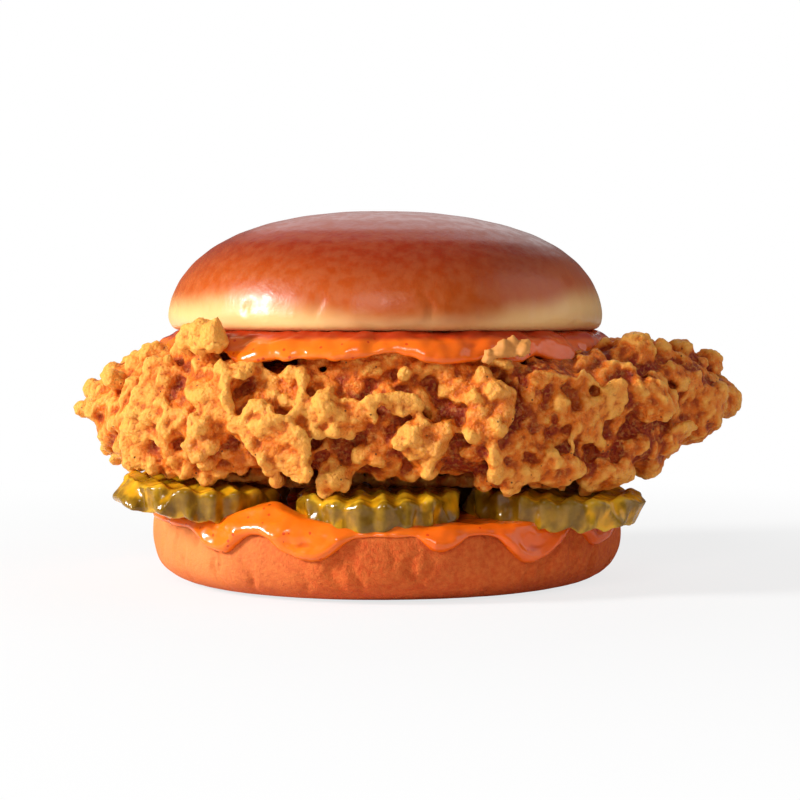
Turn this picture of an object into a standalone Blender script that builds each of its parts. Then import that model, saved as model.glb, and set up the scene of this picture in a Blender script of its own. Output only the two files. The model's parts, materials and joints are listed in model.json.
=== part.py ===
"""Fried chicken burger: a glazed bun cut in two, and between its halves sauce, a craggy fried fillet,
crinkle-cut pickle slices and more sauce.

Run with: blender --background --python part.py

Units are metres and +Z is up. The burger stands on z = 0, its longest side (the fillet's) lies along X, and
the origin is under the middle of its bounding box. Every layer is one closed body, and layers that touch
keep a gap of a few tenths of a millimetre.
"""

import math

import bmesh
import bpy
from mathutils import Vector, noise
from mathutils.bvhtree import BVHTree

MM = 0.001
GAP = 0.3 * MM

# The bun's halves. Their common axis stands left of the burger's middle, because the fillet sticks out
# further on the right.
BUN_AXIS = Vector((-6.0 * MM, 0.0, 0.0))
HEEL_RADIUS = 54.5 * MM
HEEL_HEIGHT = 15.5 * MM
HEEL_FOOT_RADIUS = 45.0 * MM
HEEL_BELLY_HEIGHT = 9.5 * MM
CROWN_RADIUS = 50.6 * MM
CROWN_FLOOR = 57.0 * MM
CROWN_HEIGHT = 27.8 * MM
CROWN_FULLNESS = 2.35
CUT_CORNER = 1.3 * MM
BUN_SEGMENTS = 48
# How far each half is out of round, as a share of its radius, and where its waves start.
WOBBLE = 0.006
HEEL_PHASE = 0.7
CROWN_PHASE = 2.2

# The fillet: a rounded slab, blunt on the left and drawn up to a thinner tail on the right.
FILLET_MIDDLE = Vector((0.0, 0.0, 38.2 * MM))
FILLET_HALF = Vector((75.2 * MM, 51.5 * MM, 16.6 * MM))
FILLET_SQUARENESS = 5.0
FILLET_TOP = 52.8 * MM
FILLET_BULGE = 3.0 * MM
FILLET_BELLY = 22.0 * MM
FILLET_FACE = 3.3 * MM
FILLET_FACES_KEPT = 0.45
TAIL_LIFT = 8.0 * MM
HEAD_LIFT = 1.5 * MM
LUMP_SIZE = 14.0 * MM
LUMP_DEPTH = 2.6 * MM
KNOB_SIZE = 9.0 * MM
KNOB_DEPTH = 3.0 * MM

# Pickle slices, cut with a waved blade: name, place of the middle, radius, turn about Z, lean about X and Y
# in degrees.
SLICE_THICKNESS = 4.9 * MM
WAVE_HEIGHT = 0.7 * MM
WAVE_PITCH = 5.0 * MM
SLICE_SEGMENTS = 32
SLICES = (
    ("pickle_left", (-46.2, -25.6, 22.2), 18.0, 24.0, 3.0, 5.5),
    ("pickle_front", (-8.0, -37.6, 20.25), 16.8, 2.0, 2.0, 0.0),
    ("pickle_right", (31.5, -27.5, 20.4), 18.4, -16.0, 1.5, 0.8),
    ("pickle_middle", (9.0, 7.5, 20.3), 17.5, 38.0, 0.0, 0.0),
    ("pickle_back", (-24.0, 35.0, 20.4), 18.0, 152.0, -1.0, 0.0),
)

# Sauce on the heel: a thin coat over the cut face whose edge runs down the wall in tongues. Each tongue is
# its direction in degrees from +X, how far it runs down, and half its width in degrees.
COAT_THICKNESS = 0.9 * MM
COAT_EDGE = 0.5 * MM
COAT_SEGMENTS = 72
LOWER_TONGUES = (
    (-130.0, 5.2, 5.5),
    (-106.5, 4.8, 5.0),
    (-77.0, 3.2, 4.0),
    (-55.0, 6.4, 7.0),
    (-30.0, 5.2, 5.0),
    (38.0, 4.5, 7.0),
    (74.0, 6.0, 6.0),
    (131.0, 3.6, 5.0),
    (168.0, 4.2, 7.0),
)
# The coat swells into a mound between the left and the front slice, up against the fillet: direction,
# height above the coat, half width in degrees, and half width along the radius.
MOUND = (-118.5, 4.6, 5.5, 6.0)

# Sauce under the crown: a bed on the fillet with lobes that hang over its shoulder, in the same form.
BED_THICKNESS = 3.1 * MM
BED_RADIUS = 47.6 * MM
BED_LOWEST = 49.6 * MM
BED_SEGMENTS = 60
UPPER_LOBES = (
    (-125.0, 3.6, 5.5),
    (-108.0, 2.6, 4.0),
    (-98.0, 3.0, 4.5),
    (-72.0, 2.8, 9.0),
    (-48.0, 3.2, 6.0),
    (-35.0, 3.6, 5.0),
    (25.0, 3.0, 7.0),
    (62.0, 3.4, 9.0),
    (102.0, 2.4, 6.0),
    (140.0, 3.4, 7.0),
)

# Colours are linear: RGB, then roughness.
BUN_GOLD = ((0.56, 0.20, 0.045), 0.35)
BUN_TOAST = ((0.52, 0.17, 0.055), 0.75)
CRUST_GOLD = ((0.62, 0.24, 0.045), 0.6)
SAUCE_ORANGE = ((0.80, 0.17, 0.015), 0.22)
PICKLE_OLIVE = ((0.20, 0.17, 0.02), 0.25)


def clear_scene():
    for obj in list(bpy.data.objects):
        bpy.data.objects.remove(obj, do_unlink=True)


def make_collection(name):
    collection = bpy.data.collections.new(name)
    bpy.context.scene.collection.children.link(collection)
    return collection


def make_material(name, look):
    colour, roughness = look
    material = bpy.data.materials.new(name)
    material.use_nodes = True
    shader = material.node_tree.nodes["Principled BSDF"]
    shader.inputs["Base Color"].default_value = (*colour, 1.0)
    shader.inputs["Roughness"].default_value = roughness
    shader.inputs["Metallic"].default_value = 0.0
    material.diffuse_color = (*colour, 1.0)
    return material


def put(obj, collection, material):
    """Moves the object to the collection and gives it the material."""
    for other in list(obj.users_collection):
        other.objects.unlink(obj)
    collection.objects.link(obj)
    obj.data.materials.clear()
    obj.data.materials.append(material)
    return obj


def frozen(obj):
    """The object with its modifiers made part of its mesh."""
    bpy.context.view_layer.update()
    graph = bpy.context.evaluated_depsgraph_get()
    mesh = bpy.data.meshes.new_from_object(obj.evaluated_get(graph), depsgraph=graph)
    old = obj.data
    obj.modifiers.clear()
    obj.data = mesh
    bpy.data.meshes.remove(old)
    return obj


def turned(name, profile, segments):
    """A polyline in the XZ plane, from the axis or the outer top downwards, turned about Z."""
    mesh = bpy.data.meshes.new(name)
    mesh.from_pydata([(r, 0.0, z) for r, z in profile], [(i, i + 1) for i in range(len(profile) - 1)], [])
    obj = bpy.data.objects.new(name, mesh)
    bpy.context.scene.collection.objects.link(obj)
    screw = obj.modifiers.new("turn", "SCREW")
    screw.steps = segments
    screw.render_steps = segments
    screw.use_merge_vertices = True
    screw.merge_threshold = 0.00001
    screw.use_smooth_shade = True
    return frozen(obj)


def in_polar(point):
    return math.hypot(point.x, point.y), math.atan2(point.y, point.x)


def unround(obj, amount, phase):
    """Makes a turned bun half a little oval and uneven, the less the nearer the axis. Heights stay."""
    for vertex in obj.data.vertices:
        radius, turn = in_polar(vertex.co)
        wobble = math.sin(2 * turn + phase) + 0.6 * math.sin(3 * turn + 2.1 * phase) + 0.3 * math.sin(5 * turn)
        scale = 1.0 + amount * wobble * min(1.0, radius / HEEL_FOOT_RADIUS)
        vertex.co.x *= scale
        vertex.co.y *= scale


# ---------------------------------------------------------------- the bun


def heel_profile():
    """The lower half's outline, from the middle of its cut face to the middle of its foot."""
    points = [(0.0, HEEL_HEIGHT), (HEEL_RADIUS * 0.5, HEEL_HEIGHT)]
    top = HEEL_RADIUS - 0.4 * MM
    for step in range(3):
        turn = math.radians(90 - 45 * step)
        points.append(
            (top - CUT_CORNER * (1 - math.cos(turn)), HEEL_HEIGHT - CUT_CORNER * (1 - math.sin(turn)))
        )
    steps = 6
    for step in range(steps + 1):
        turn = math.radians(90 * step / steps)
        points.append(
            (
                HEEL_FOOT_RADIUS + (HEEL_RADIUS - HEEL_FOOT_RADIUS) * math.cos(turn) ** 0.9,
                HEEL_BELLY_HEIGHT * (1 - math.sin(turn) ** 0.9),
            )
        )
    points.append((0.0, 0.0))
    return points


def crown_profile():
    """The upper half's outline, from the top of the dome to the middle of its cut face."""
    steps = 10
    points = []
    for step in range(steps):
        height = math.sin(math.radians(90 - 84 * step / (steps - 1)))
        radius = CROWN_RADIUS * (1 - height**CROWN_FULLNESS) ** (1 / CROWN_FULLNESS)
        points.append((radius if step else 0.0, CROWN_FLOOR + CROWN_HEIGHT * height))
    corner = CROWN_RADIUS - 0.5 * MM
    for step in range(1, 3):
        turn = math.radians(-45 * step)
        points.append(
            (corner - CUT_CORNER * (1 - math.cos(turn)), CROWN_FLOOR + CUT_CORNER * (1 + math.sin(turn)))
        )
    points.append((CROWN_RADIUS * 0.5, CROWN_FLOOR))
    points.append((0.0, CROWN_FLOOR))
    return points


def make_bun_half(name, profile, wobble, phase, material, collection):
    half = turned(name, profile, BUN_SEGMENTS)
    unround(half, wobble, phase)
    half.location = BUN_AXIS
    half.data.set_sharp_from_angle(angle=math.radians(50))
    return put(half, collection, material)


# ---------------------------------------------------------------- pickle slices


def make_slice(name, place, radius, turn, lean, material, collection):
    """A disc with both faces waved alike: a flat disc, cut into strips, waved, then given its thickness."""
    shape = bmesh.new()
    bmesh.ops.create_circle(shape, cap_ends=True, segments=SLICE_SEGMENTS, radius=radius)
    for vertex in shape.verts:
        _, around = in_polar(vertex.co)
        vertex.co *= 1.0 + 0.02 * math.sin(3 * around + turn) + 0.025 * math.sin(2 * around + 1.0)
    strip = WAVE_PITCH / 4
    strips = int(radius / strip)
    for step in range(-strips, strips + 1):
        whole = shape.verts[:] + shape.edges[:] + shape.faces[:]
        middle = (step * strip, 0.0, 0.0)
        bmesh.ops.bisect_plane(shape, geom=whole, dist=1e-6, plane_co=middle, plane_no=(1.0, 0.0, 0.0))
    for vertex in shape.verts:
        vertex.co.z = WAVE_HEIGHT * math.sin(2 * math.pi * vertex.co.x / WAVE_PITCH)
    mesh = bpy.data.meshes.new(name)
    shape.to_mesh(mesh)
    shape.free()
    made = bpy.data.objects.new(name, mesh)
    bpy.context.scene.collection.objects.link(made)
    solidify = made.modifiers.new("thickness", "SOLIDIFY")
    solidify.thickness = SLICE_THICKNESS
    solidify.offset = 0.0
    frozen(made)
    made.rotation_euler = (math.radians(lean[0]), math.radians(lean[1]), math.radians(turn))
    made.location = place
    return put(made, collection, material)


def make_slices(material, collection):
    slices = []
    for name, place, radius, turn, lean_x, lean_y in SLICES:
        middle = Vector(place) * MM
        slices.append(make_slice(name, middle, radius * MM, turn, (lean_x, lean_y), material, collection))
    return slices


# ---------------------------------------------------------------- heights to lie on


def surface_tree(objects):
    """One search tree over the faces of several objects, in world space."""
    bpy.context.view_layer.update()
    points, faces = [], []
    for obj in objects:
        first = len(points)
        points += [obj.matrix_world @ vertex.co for vertex in obj.data.vertices]
        faces += [[first + index for index in face.vertices] for face in obj.data.polygons]
    return BVHTree.FromPolygons(points, faces)


def heights_near(tree, x, y, reach, start, down):
    """Where vertical rays from the start height first meet the tree, at (x, y) and within reach of it."""
    spots = [(0.0, 0.0)]
    for ring in (0.5, 1.0):
        spots += [
            (ring * reach * math.cos(turn), ring * reach * math.sin(turn))
            for turn in (math.radians(45 * step) for step in range(8))
        ]
    way = Vector((0.0, 0.0, -1.0 if down else 1.0))
    hits = [tree.ray_cast(Vector((x + dx, y + dy, start)), way)[0] for dx, dy in spots]
    return [hit.z for hit in hits if hit is not None]


def highest_near(tree, x, y, reach, missing):
    """The highest point of the tree within reach of (x, y), and no less than the height for a miss."""
    return max([missing, *heights_near(tree, x, y, reach, 1.0, down=True)])


def lowest_near(tree, x, y, reach, missing):
    """The lowest point of the tree within reach of (x, y), and no more than the height for a miss."""
    return min([missing, *heights_near(tree, x, y, reach, -1.0, down=False)])


# ---------------------------------------------------------------- the fillet


def plain_fillet(direction):
    """A point of the smooth fillet for a direction from its middle: a rounded slab, thinner at its ends."""
    plan = (abs(direction.x) ** 2.6 + abs(direction.y) ** 2.6) ** (1 / 2.6)
    scale = (plan**FILLET_SQUARENESS + abs(direction.z) ** FILLET_SQUARENESS) ** (-1 / FILLET_SQUARENESS)
    along, across, up = direction * scale
    right = max(0.0, along)
    left = max(0.0, -along)
    across *= 1.0 - 0.26 * right**2 - 0.06 * left**2
    thin = 1.0 - 0.42 * right**4 - 0.08 * left**4
    height = up * FILLET_HALF.z * thin + TAIL_LIFT * right**4 + HEAD_LIFT * left**4
    return FILLET_MIDDLE + Vector((along * FILLET_HALF.x, across * FILLET_HALF.y, height))


def crag(point):
    """How far the crust stands out at a point: broad lumps, and rounded knobs between sharp creases."""
    lump = noise.fractal(point / LUMP_SIZE, 0.9, 2.0, 3)
    nearest = noise.voronoi(point / KNOB_SIZE)[0]
    return LUMP_DEPTH * lump + KNOB_DEPTH * (0.55 - nearest[0])


def ceiling(point):
    """The height the crown presses the fillet down to. Past the crown's edge the fillet bulges up again."""
    past = ((point - BUN_AXIS).xy.length - CROWN_RADIUS) / (8 * MM)
    free = min(1.0, max(0.0, past))
    return FILLET_TOP + FILLET_BULGE * free + 0.4 * MM * noise.noise(point / KNOB_SIZE)


def make_fillet(slices, material, collection):
    """The fried fillet. It lies on the slices, and its top is pressed level by the crown."""
    bpy.ops.mesh.primitive_ico_sphere_add(subdivisions=5, radius=1.0)
    fillet = bpy.context.active_object
    fillet.name = "chicken"
    for vertex in fillet.data.vertices:
        vertex.co = plain_fillet(vertex.co.normalized())
    remesh = fillet.modifiers.new("even_faces", "REMESH")
    remesh.mode = "VOXEL"
    remesh.voxel_size = FILLET_FACE
    frozen(fillet)

    below = surface_tree(slices)
    moved = []
    for vertex in fillet.data.vertices:
        out = vertex.normal
        shown = 1.0 - 0.7 * abs(out.z) ** 2
        point = vertex.co + out * crag(vertex.co) * shown
        if out.z < 0.6:
            floor = highest_near(below, point.x, point.y, 5 * MM, FILLET_BELLY) + 2 * GAP
            point.z = max(point.z, floor)
        point.z = min(point.z, ceiling(point))
        moved.append(point)
    for vertex, point in zip(fillet.data.vertices, moved):
        vertex.co = point
    decimate = fillet.modifiers.new("fewer_faces", "DECIMATE")
    decimate.ratio = FILLET_FACES_KEPT
    frozen(fillet)
    return put(fillet, collection, material)


# ---------------------------------------------------------------- sauce


def bump(angle, middle, half_width):
    """1 at the middle angle, falling smoothly to 0 a little past the half width. Angles are in degrees."""
    away = (angle - middle + 180.0) % 360.0 - 180.0
    return math.exp(-((away / half_width) ** 4) * 0.7)


def reach_of(angle, tongues, edge):
    """How far the sauce runs at a direction: a slightly uneven edge, or the longest tongue there."""
    uneven = edge * (1.0 + 0.5 * math.sin(math.radians(7 * angle)) + 0.5 * math.sin(math.radians(13 * angle)))
    return uneven + max(length * MM * bump(angle, middle, width) for middle, length, width in tongues)


def give_thickness(sheet, thickness, shares):
    """Turns an open sheet into a closed shell, with each vertex's share of the full thickness."""
    group = sheet.vertex_groups.new(name="thickness")
    for index, share in enumerate(shares):
        group.add([index], share, "REPLACE")
    solidify = sheet.modifiers.new("thickness", "SOLIDIFY")
    solidify.thickness = thickness
    solidify.offset = 1.0
    solidify.use_even_offset = False
    solidify.vertex_group = group.name
    return frozen(sheet)


def on_heel(run):
    """(radius, height, how far past the rim) of the coat's underside, after running that far from the axis."""
    rim = HEEL_RADIUS + GAP
    corner = rim - CUT_CORNER
    arc = CUT_CORNER * math.pi / 2
    top = HEEL_HEIGHT + GAP
    if run <= corner:
        return run, top
    if run <= corner + arc:
        turn = (run - corner) / CUT_CORNER
        return corner + CUT_CORNER * math.sin(turn), top - CUT_CORNER * (1 - math.cos(turn))
    return rim, top - CUT_CORNER - (run - corner - arc)


def make_lower_sauce(above, material, collection):
    """The coat on the heel, which runs over its rim in tongues and swells into a mound at the front."""
    shares_of_run = (0.0, 0.6, 0.82, 0.91, 1.0)
    rim_run = HEEL_RADIUS - CUT_CORNER
    rows = [(rim_run * share, 0.0) for share in shares_of_run] + [(rim_run, (step + 1) / 4) for step in range(4)]
    lid = surface_tree(above)
    sheet = turned("sauce_lower", [(row * MM, 0.0) for row in range(len(rows))], COAT_SEGMENTS)
    mound_way, mound_height, mound_width, mound_length = MOUND
    mound_middle = HEEL_RADIUS - 3.5 * MM
    shares = []
    for vertex in sheet.data.vertices:
        row, around = in_polar(vertex.co)
        angle = math.degrees(around)
        start, hang = rows[round(row / MM)]
        tongue = reach_of(angle, LOWER_TONGUES, COAT_EDGE)
        radius, height = on_heel(start + hang * (CUT_CORNER + tongue))
        wall = 1.0 + 0.012 * max(0.0, HEEL_HEIGHT - height) / HEEL_HEIGHT
        uneven = heel_scale(around) * wall
        vertex.co = (radius * uneven * math.cos(around), radius * uneven * math.sin(around), height)
        thick = COAT_THICKNESS * (1.0 - 0.45 * hang) + 0.35 * MM * hang * min(1.0, tongue / (4 * MM))
        mound = bump(angle, mound_way, mound_width)
        mound *= math.exp(-(((radius - mound_middle) / (mound_length * MM)) ** 2)) * (1 - 0.75 * hang)
        thick += mound_height * MM * mound
        x, y = vertex.co.x + BUN_AXIS.x, vertex.co.y + BUN_AXIS.y
        room = lowest_near(lid, x, y, 3.0 * MM, 1.0) - height - GAP
        shares.append(min(thick, max(room, 0.4 * MM)))
    full = max(shares)
    give_thickness(sheet, full, [share / full for share in shares])
    sheet.location = BUN_AXIS
    return put(sheet, collection, material)


def heel_scale(around):
    """The heel's unevenness at its rim, as unround makes it."""
    wobble = math.sin(2 * around + HEEL_PHASE) + 0.6 * math.sin(3 * around + 2.1 * HEEL_PHASE)
    return 1.0 + WOBBLE * (wobble + 0.3 * math.sin(5 * around))


def make_upper_sauce(fillet, material, collection):
    """The bed of sauce on the fillet. Its lobes hang over the fillet's shoulder."""
    shares_of_radius = (0.0, 0.6, 0.82, 0.91, 0.97, 1.0)
    sheet = turned("sauce_upper", [(row * MM, 0.0) for row in range(len(shares_of_radius))], BED_SEGMENTS)
    below = surface_tree([fillet])
    level = FILLET_TOP + 2.2 * GAP
    shares = []
    for vertex in sheet.data.vertices:
        row, around = in_polar(vertex.co)
        angle = math.degrees(around)
        share = shares_of_radius[round(row / MM)]
        lobe = reach_of(angle, UPPER_LOBES, 0.4 * MM)
        radius = (BED_RADIUS + lobe) * share
        x, y = radius * math.cos(around), radius * math.sin(around)
        resting = highest_near(below, x + BUN_AXIS.x, y + BUN_AXIS.y, 2.6 * MM, BED_LOWEST) + 2 * GAP
        hanging = level - 1.4 * lobe * max(0.0, (share - 0.88) / 0.12) ** 2
        vertex.co = (x, y, min(level, max(resting, hanging)))
        shares.append(1.0 if share < 0.95 else 0.85 if share < 1.0 else 0.45)
    give_thickness(sheet, BED_THICKNESS, shares)
    sheet.location = BUN_AXIS
    return put(sheet, collection, material)


# ---------------------------------------------------------------- the whole


def centre_on_box(objects):
    """Slides the layers together so that their common box stands centred on the origin."""
    bpy.context.view_layer.update()
    points = [obj.matrix_world @ vertex.co for obj in objects for vertex in obj.data.vertices]
    lowest = [min(point[axis] for point in points) for axis in range(3)]
    highest = [max(point[axis] for point in points) for axis in range(3)]
    middle = [(lowest[axis] + highest[axis]) / 2 for axis in (0, 1)]
    for obj in objects:
        obj.location -= Vector((middle[0], middle[1], lowest[2]))


def main():
    clear_scene()
    layers = make_collection("fried_chicken_burger")
    crown_look = make_material("bun_crown", BUN_GOLD)
    heel_look = make_material("bun_heel", BUN_TOAST)
    crust_look = make_material("fried_crust", CRUST_GOLD)
    sauce_look = make_material("sauce", SAUCE_ORANGE)
    pickle_look = make_material("pickle", PICKLE_OLIVE)

    heel = make_bun_half("bun_heel", heel_profile(), WOBBLE, HEEL_PHASE, heel_look, layers)
    crown = make_bun_half("bun_crown", crown_profile(), WOBBLE, CROWN_PHASE, crown_look, layers)
    slices = make_slices(pickle_look, layers)
    fillet = make_fillet(slices, crust_look, layers)
    lower = make_lower_sauce([fillet, *slices], sauce_look, layers)
    upper = make_upper_sauce(fillet, sauce_look, layers)
    centre_on_box([heel, crown, fillet, lower, upper, *slices])


main()
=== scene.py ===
"""Looks for the fried chicken burger: bun, sauces, pickle slices and a craggy fried fillet.

The file is laid out as an add-on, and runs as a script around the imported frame.
"""

import json
import math
import random

import bpy
import numpy as np
from bpy.props import FloatProperty, FloatVectorProperty, PointerProperty
from bpy.types import Operator, Panel, PropertyGroup
from mathutils import Matrix, Vector, noise
from mathutils.bvhtree import BVHTree

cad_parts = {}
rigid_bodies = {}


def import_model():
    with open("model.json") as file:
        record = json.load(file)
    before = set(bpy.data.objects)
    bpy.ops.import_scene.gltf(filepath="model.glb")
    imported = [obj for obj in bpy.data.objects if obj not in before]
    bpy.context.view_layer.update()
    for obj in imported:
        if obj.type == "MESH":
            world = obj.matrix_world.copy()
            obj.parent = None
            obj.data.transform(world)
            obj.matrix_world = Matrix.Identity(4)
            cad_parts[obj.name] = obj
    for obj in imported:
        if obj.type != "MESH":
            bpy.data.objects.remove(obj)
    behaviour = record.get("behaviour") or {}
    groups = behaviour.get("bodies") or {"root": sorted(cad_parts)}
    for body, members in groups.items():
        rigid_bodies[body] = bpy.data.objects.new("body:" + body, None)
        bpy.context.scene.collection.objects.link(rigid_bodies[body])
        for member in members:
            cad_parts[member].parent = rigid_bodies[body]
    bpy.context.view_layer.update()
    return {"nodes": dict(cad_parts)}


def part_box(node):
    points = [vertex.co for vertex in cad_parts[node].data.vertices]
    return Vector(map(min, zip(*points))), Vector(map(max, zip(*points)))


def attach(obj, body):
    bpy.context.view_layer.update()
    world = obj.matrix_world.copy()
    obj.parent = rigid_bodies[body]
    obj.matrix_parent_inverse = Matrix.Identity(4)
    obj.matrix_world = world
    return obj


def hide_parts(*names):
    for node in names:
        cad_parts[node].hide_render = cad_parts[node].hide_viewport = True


bl_info = {
    "name": "Fried Chicken Burger",
    "version": (1, 0, 0),
    "blender": (4, 5, 0),
    "location": "3D View > Sidebar > Burger",
    "description": "Makes a fried chicken burger's bun, fillet, sauces and slices around its CAD frame",
    "category": "Mesh",
}

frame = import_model()

MM = 0.001
BODY = "root"
# Each slice, and the direction that its waves follow each other in, in degrees.
SLICES = (
    ("pickle_left", 24.0),
    ("pickle_front", 2.0),
    ("pickle_right", -16.0),
    ("pickle_middle", 38.0),
    ("pickle_back", 152.0),
)
WAVE_PITCH = 0.005
# Facet sizes: the bare fillet, the forms when they first melt together, then the finished pieces.
CORE_VOXEL = 0.0016
MELT_VOXEL = 0.0007
FINE_VOXEL = 0.00045
UPPER_SAUCE_VOXEL = 0.0005
# The heel's facets are this much smaller than the crown's, for its creases.
HEEL_VOXEL_SHARE = 0.75
# Voronoi relief is measured from this level, so that knobs stand out more than creases cut in.
KNOB_LEVEL = 0.22
# Where the fillet is cut in four: Y of the cut between front and back, X of the cuts in front and behind.
MIDDLE_CUT = 0.0015
FRONT_CUT = -0.004
BACK_CUT = 0.002
HEEL_LOW, HEEL_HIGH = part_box("bun_heel")
CROWN_LOW, CROWN_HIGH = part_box("bun_crown")
FILLET_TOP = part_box("chicken")[1].z
HEEL_AXIS = (HEEL_LOW + HEEL_HIGH) / 2
CROWN_AXIS = (CROWN_LOW + CROWN_HIGH) / 2

# Tongues of sauce on the heel: direction in degrees, with the front at -90, how far down the wall in mm,
# half width in degrees.
LOWER_TONGUES = (
    (-130.5, 5.2, 6.5),
    (-107.5, 5.8, 7.5),
    (-91.0, 0.6, 9.0),
    (-77.0, 3.3, 4.6),
    (-54.5, 7.0, 8.0),
    (-30.0, 4.8, 8.0),
    (10.0, 2.6, 8.0),
    (38.0, 4.5, 7.0),
    (74.0, 6.0, 6.0),
    (102.0, 2.2, 8.0),
    (131.0, 4.4, 6.0),
    (168.0, 4.0, 7.0),
)
# Where the sauce on the heel is pushed up between two slices: direction, height in mm, half width.
TENT = (-118.5, 5.6, 8.5)
# Lobes of sauce under the crown, in the same form as the tongues. Between lobes it hangs by UPPER_EDGE.
UPPER_LOBES = (
    (-122.5, 4.7, 5.4),
    (-110.5, 4.0, 4.6),
    (-98.0, 3.4, 4.2),
    (-90.0, 1.8, 5.0),
    (-74.0, 4.2, 8.0),
    (-60.0, 4.0, 7.0),
    (-43.0, 4.9, 7.6),
    (-24.0, 1.4, 6.0),
    (12.0, 3.2, 8.0),
    (40.0, 2.2, 7.0),
    (64.0, 4.2, 7.0),
    (92.0, 2.4, 7.0),
    (118.0, 4.4, 6.0),
    (150.0, 2.6, 9.0),
    (-160.0, 1.5, 8.0),
)
UPPER_EDGE = 2.8
LOWER_EDGE = 0.1
RING_STEP = 1.5

# Crust pieces placed one by one, in mm and degrees. A flake on the front: x, z, how far its middle stands
# out, length, width, thickness, roll about the outward direction, lean, and its curl along its length.
FLAKES = (
    (-26.3, 33.8, 1.6, 17.0, 12.0, 3.0, -42.0, 16.0, 0.3),
    (-22.5, 38.0, 1.8, 8.0, 7.0, 2.6, 60.0, 10.0, 0.4),
    (-34.4, 47.6, 2.2, 8.6, 5.6, 2.6, 78.0, 14.0, 0.4),
    (-18.6, 49.2, 2.0, 8.0, 5.6, 2.4, 12.0, 18.0, 0.4),
    (-43.6, 35.0, 2.2, 10.0, 7.6, 3.6, 80.0, 10.0, 0.2),
    (-45.0, 28.6, 2.0, 14.0, 6.0, 1.8, 24.0, 34.0, 0.3),
    (-44.0, 26.6, 2.8, 13.0, 6.0, 1.8, 8.0, 38.0, 0.4),
    (-41.0, 25.0, 2.2, 12.0, 6.0, 1.8, -14.0, 36.0, 0.4),
    (-36.0, 27.4, 1.8, 13.0, 6.4, 3.6, -52.0, 8.0, 0.2),
    (-31.0, 25.0, 1.4, 10.0, 5.0, 3.0, -40.0, 8.0, 0.2),
    (-12.3, 39.2, 2.0, 9.5, 8.0, 4.0, 60.0, 6.0, 0.3),
    (-8.0, 40.6, 3.2, 6.5, 2.4, 1.3, 88.0, 60.0, 0.2),
    (-7.6, 49.0, 1.6, 10.0, 8.6, 4.4, 10.0, 0.0, 0.2),
    (-3.4, 42.6, 2.8, 13.5, 5.0, 2.6, -8.0, 30.0, 0.4),
    (-16.5, 27.6, 2.4, 8.4, 5.4, 3.6, 6.0, 16.0, 0.3),
    (2.6, 34.0, 2.8, 11.0, 10.0, 4.4, -20.0, 14.0, 0.3),
    (3.2, 48.4, 2.0, 14.0, 7.4, 4.6, 2.0, 4.0, 0.1),
    (28.5, 46.6, 1.6, 8.6, 5.4, 2.2, 14.0, 26.0, 0.3),
    (34.0, 46.4, 2.4, 10.0, 5.4, 1.8, -6.0, 34.0, 0.4),
    (26.0, 40.0, -0.4, 14.0, 12.0, 3.0, 70.0, 0.0, 0.1),
    (37.0, 38.8, 2.2, 11.4, 6.6, 2.4, 76.0, 20.0, 0.3),
    (42.6, 43.4, 2.0, 9.4, 6.6, 3.6, 62.0, 8.0, 0.3),
    (51.2, 42.6, 2.2, 11.4, 8.4, 4.6, -40.0, 6.0, 0.2),
    (41.0, 28.4, 2.0, 12.0, 9.0, 5.0, 10.0, 14.0, 0.2),
    (61.0, 32.6, 1.6, 11.0, 6.6, 3.6, 30.0, 16.0, 0.3),
    (65.4, 40.6, 1.2, 9.0, 8.0, 4.0, 40.0, 10.0, 0.3),
    (31.5, 29.0, 1.4, 10.0, 8.0, 4.0, 30.0, 10.0, 0.2),
    (-55.0, 42.0, 1.2, 14.0, 9.0, 4.0, 56.0, 6.0, 0.2),
    (-53.6, 46.8, 1.4, 10.0, 7.6, 3.6, 40.0, 10.0, 0.2),
    (-49.0, 37.6, 1.4, 8.6, 4.4, 2.4, 38.0, 24.0, 0.5),
    (-58.0, 33.0, 1.0, 12.0, 8.0, 4.0, 70.0, 4.0, 0.2),
    (-40.0, 52.0, 1.8, 7.0, 4.0, 1.6, 24.0, 40.0, 0.3),
)
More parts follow.
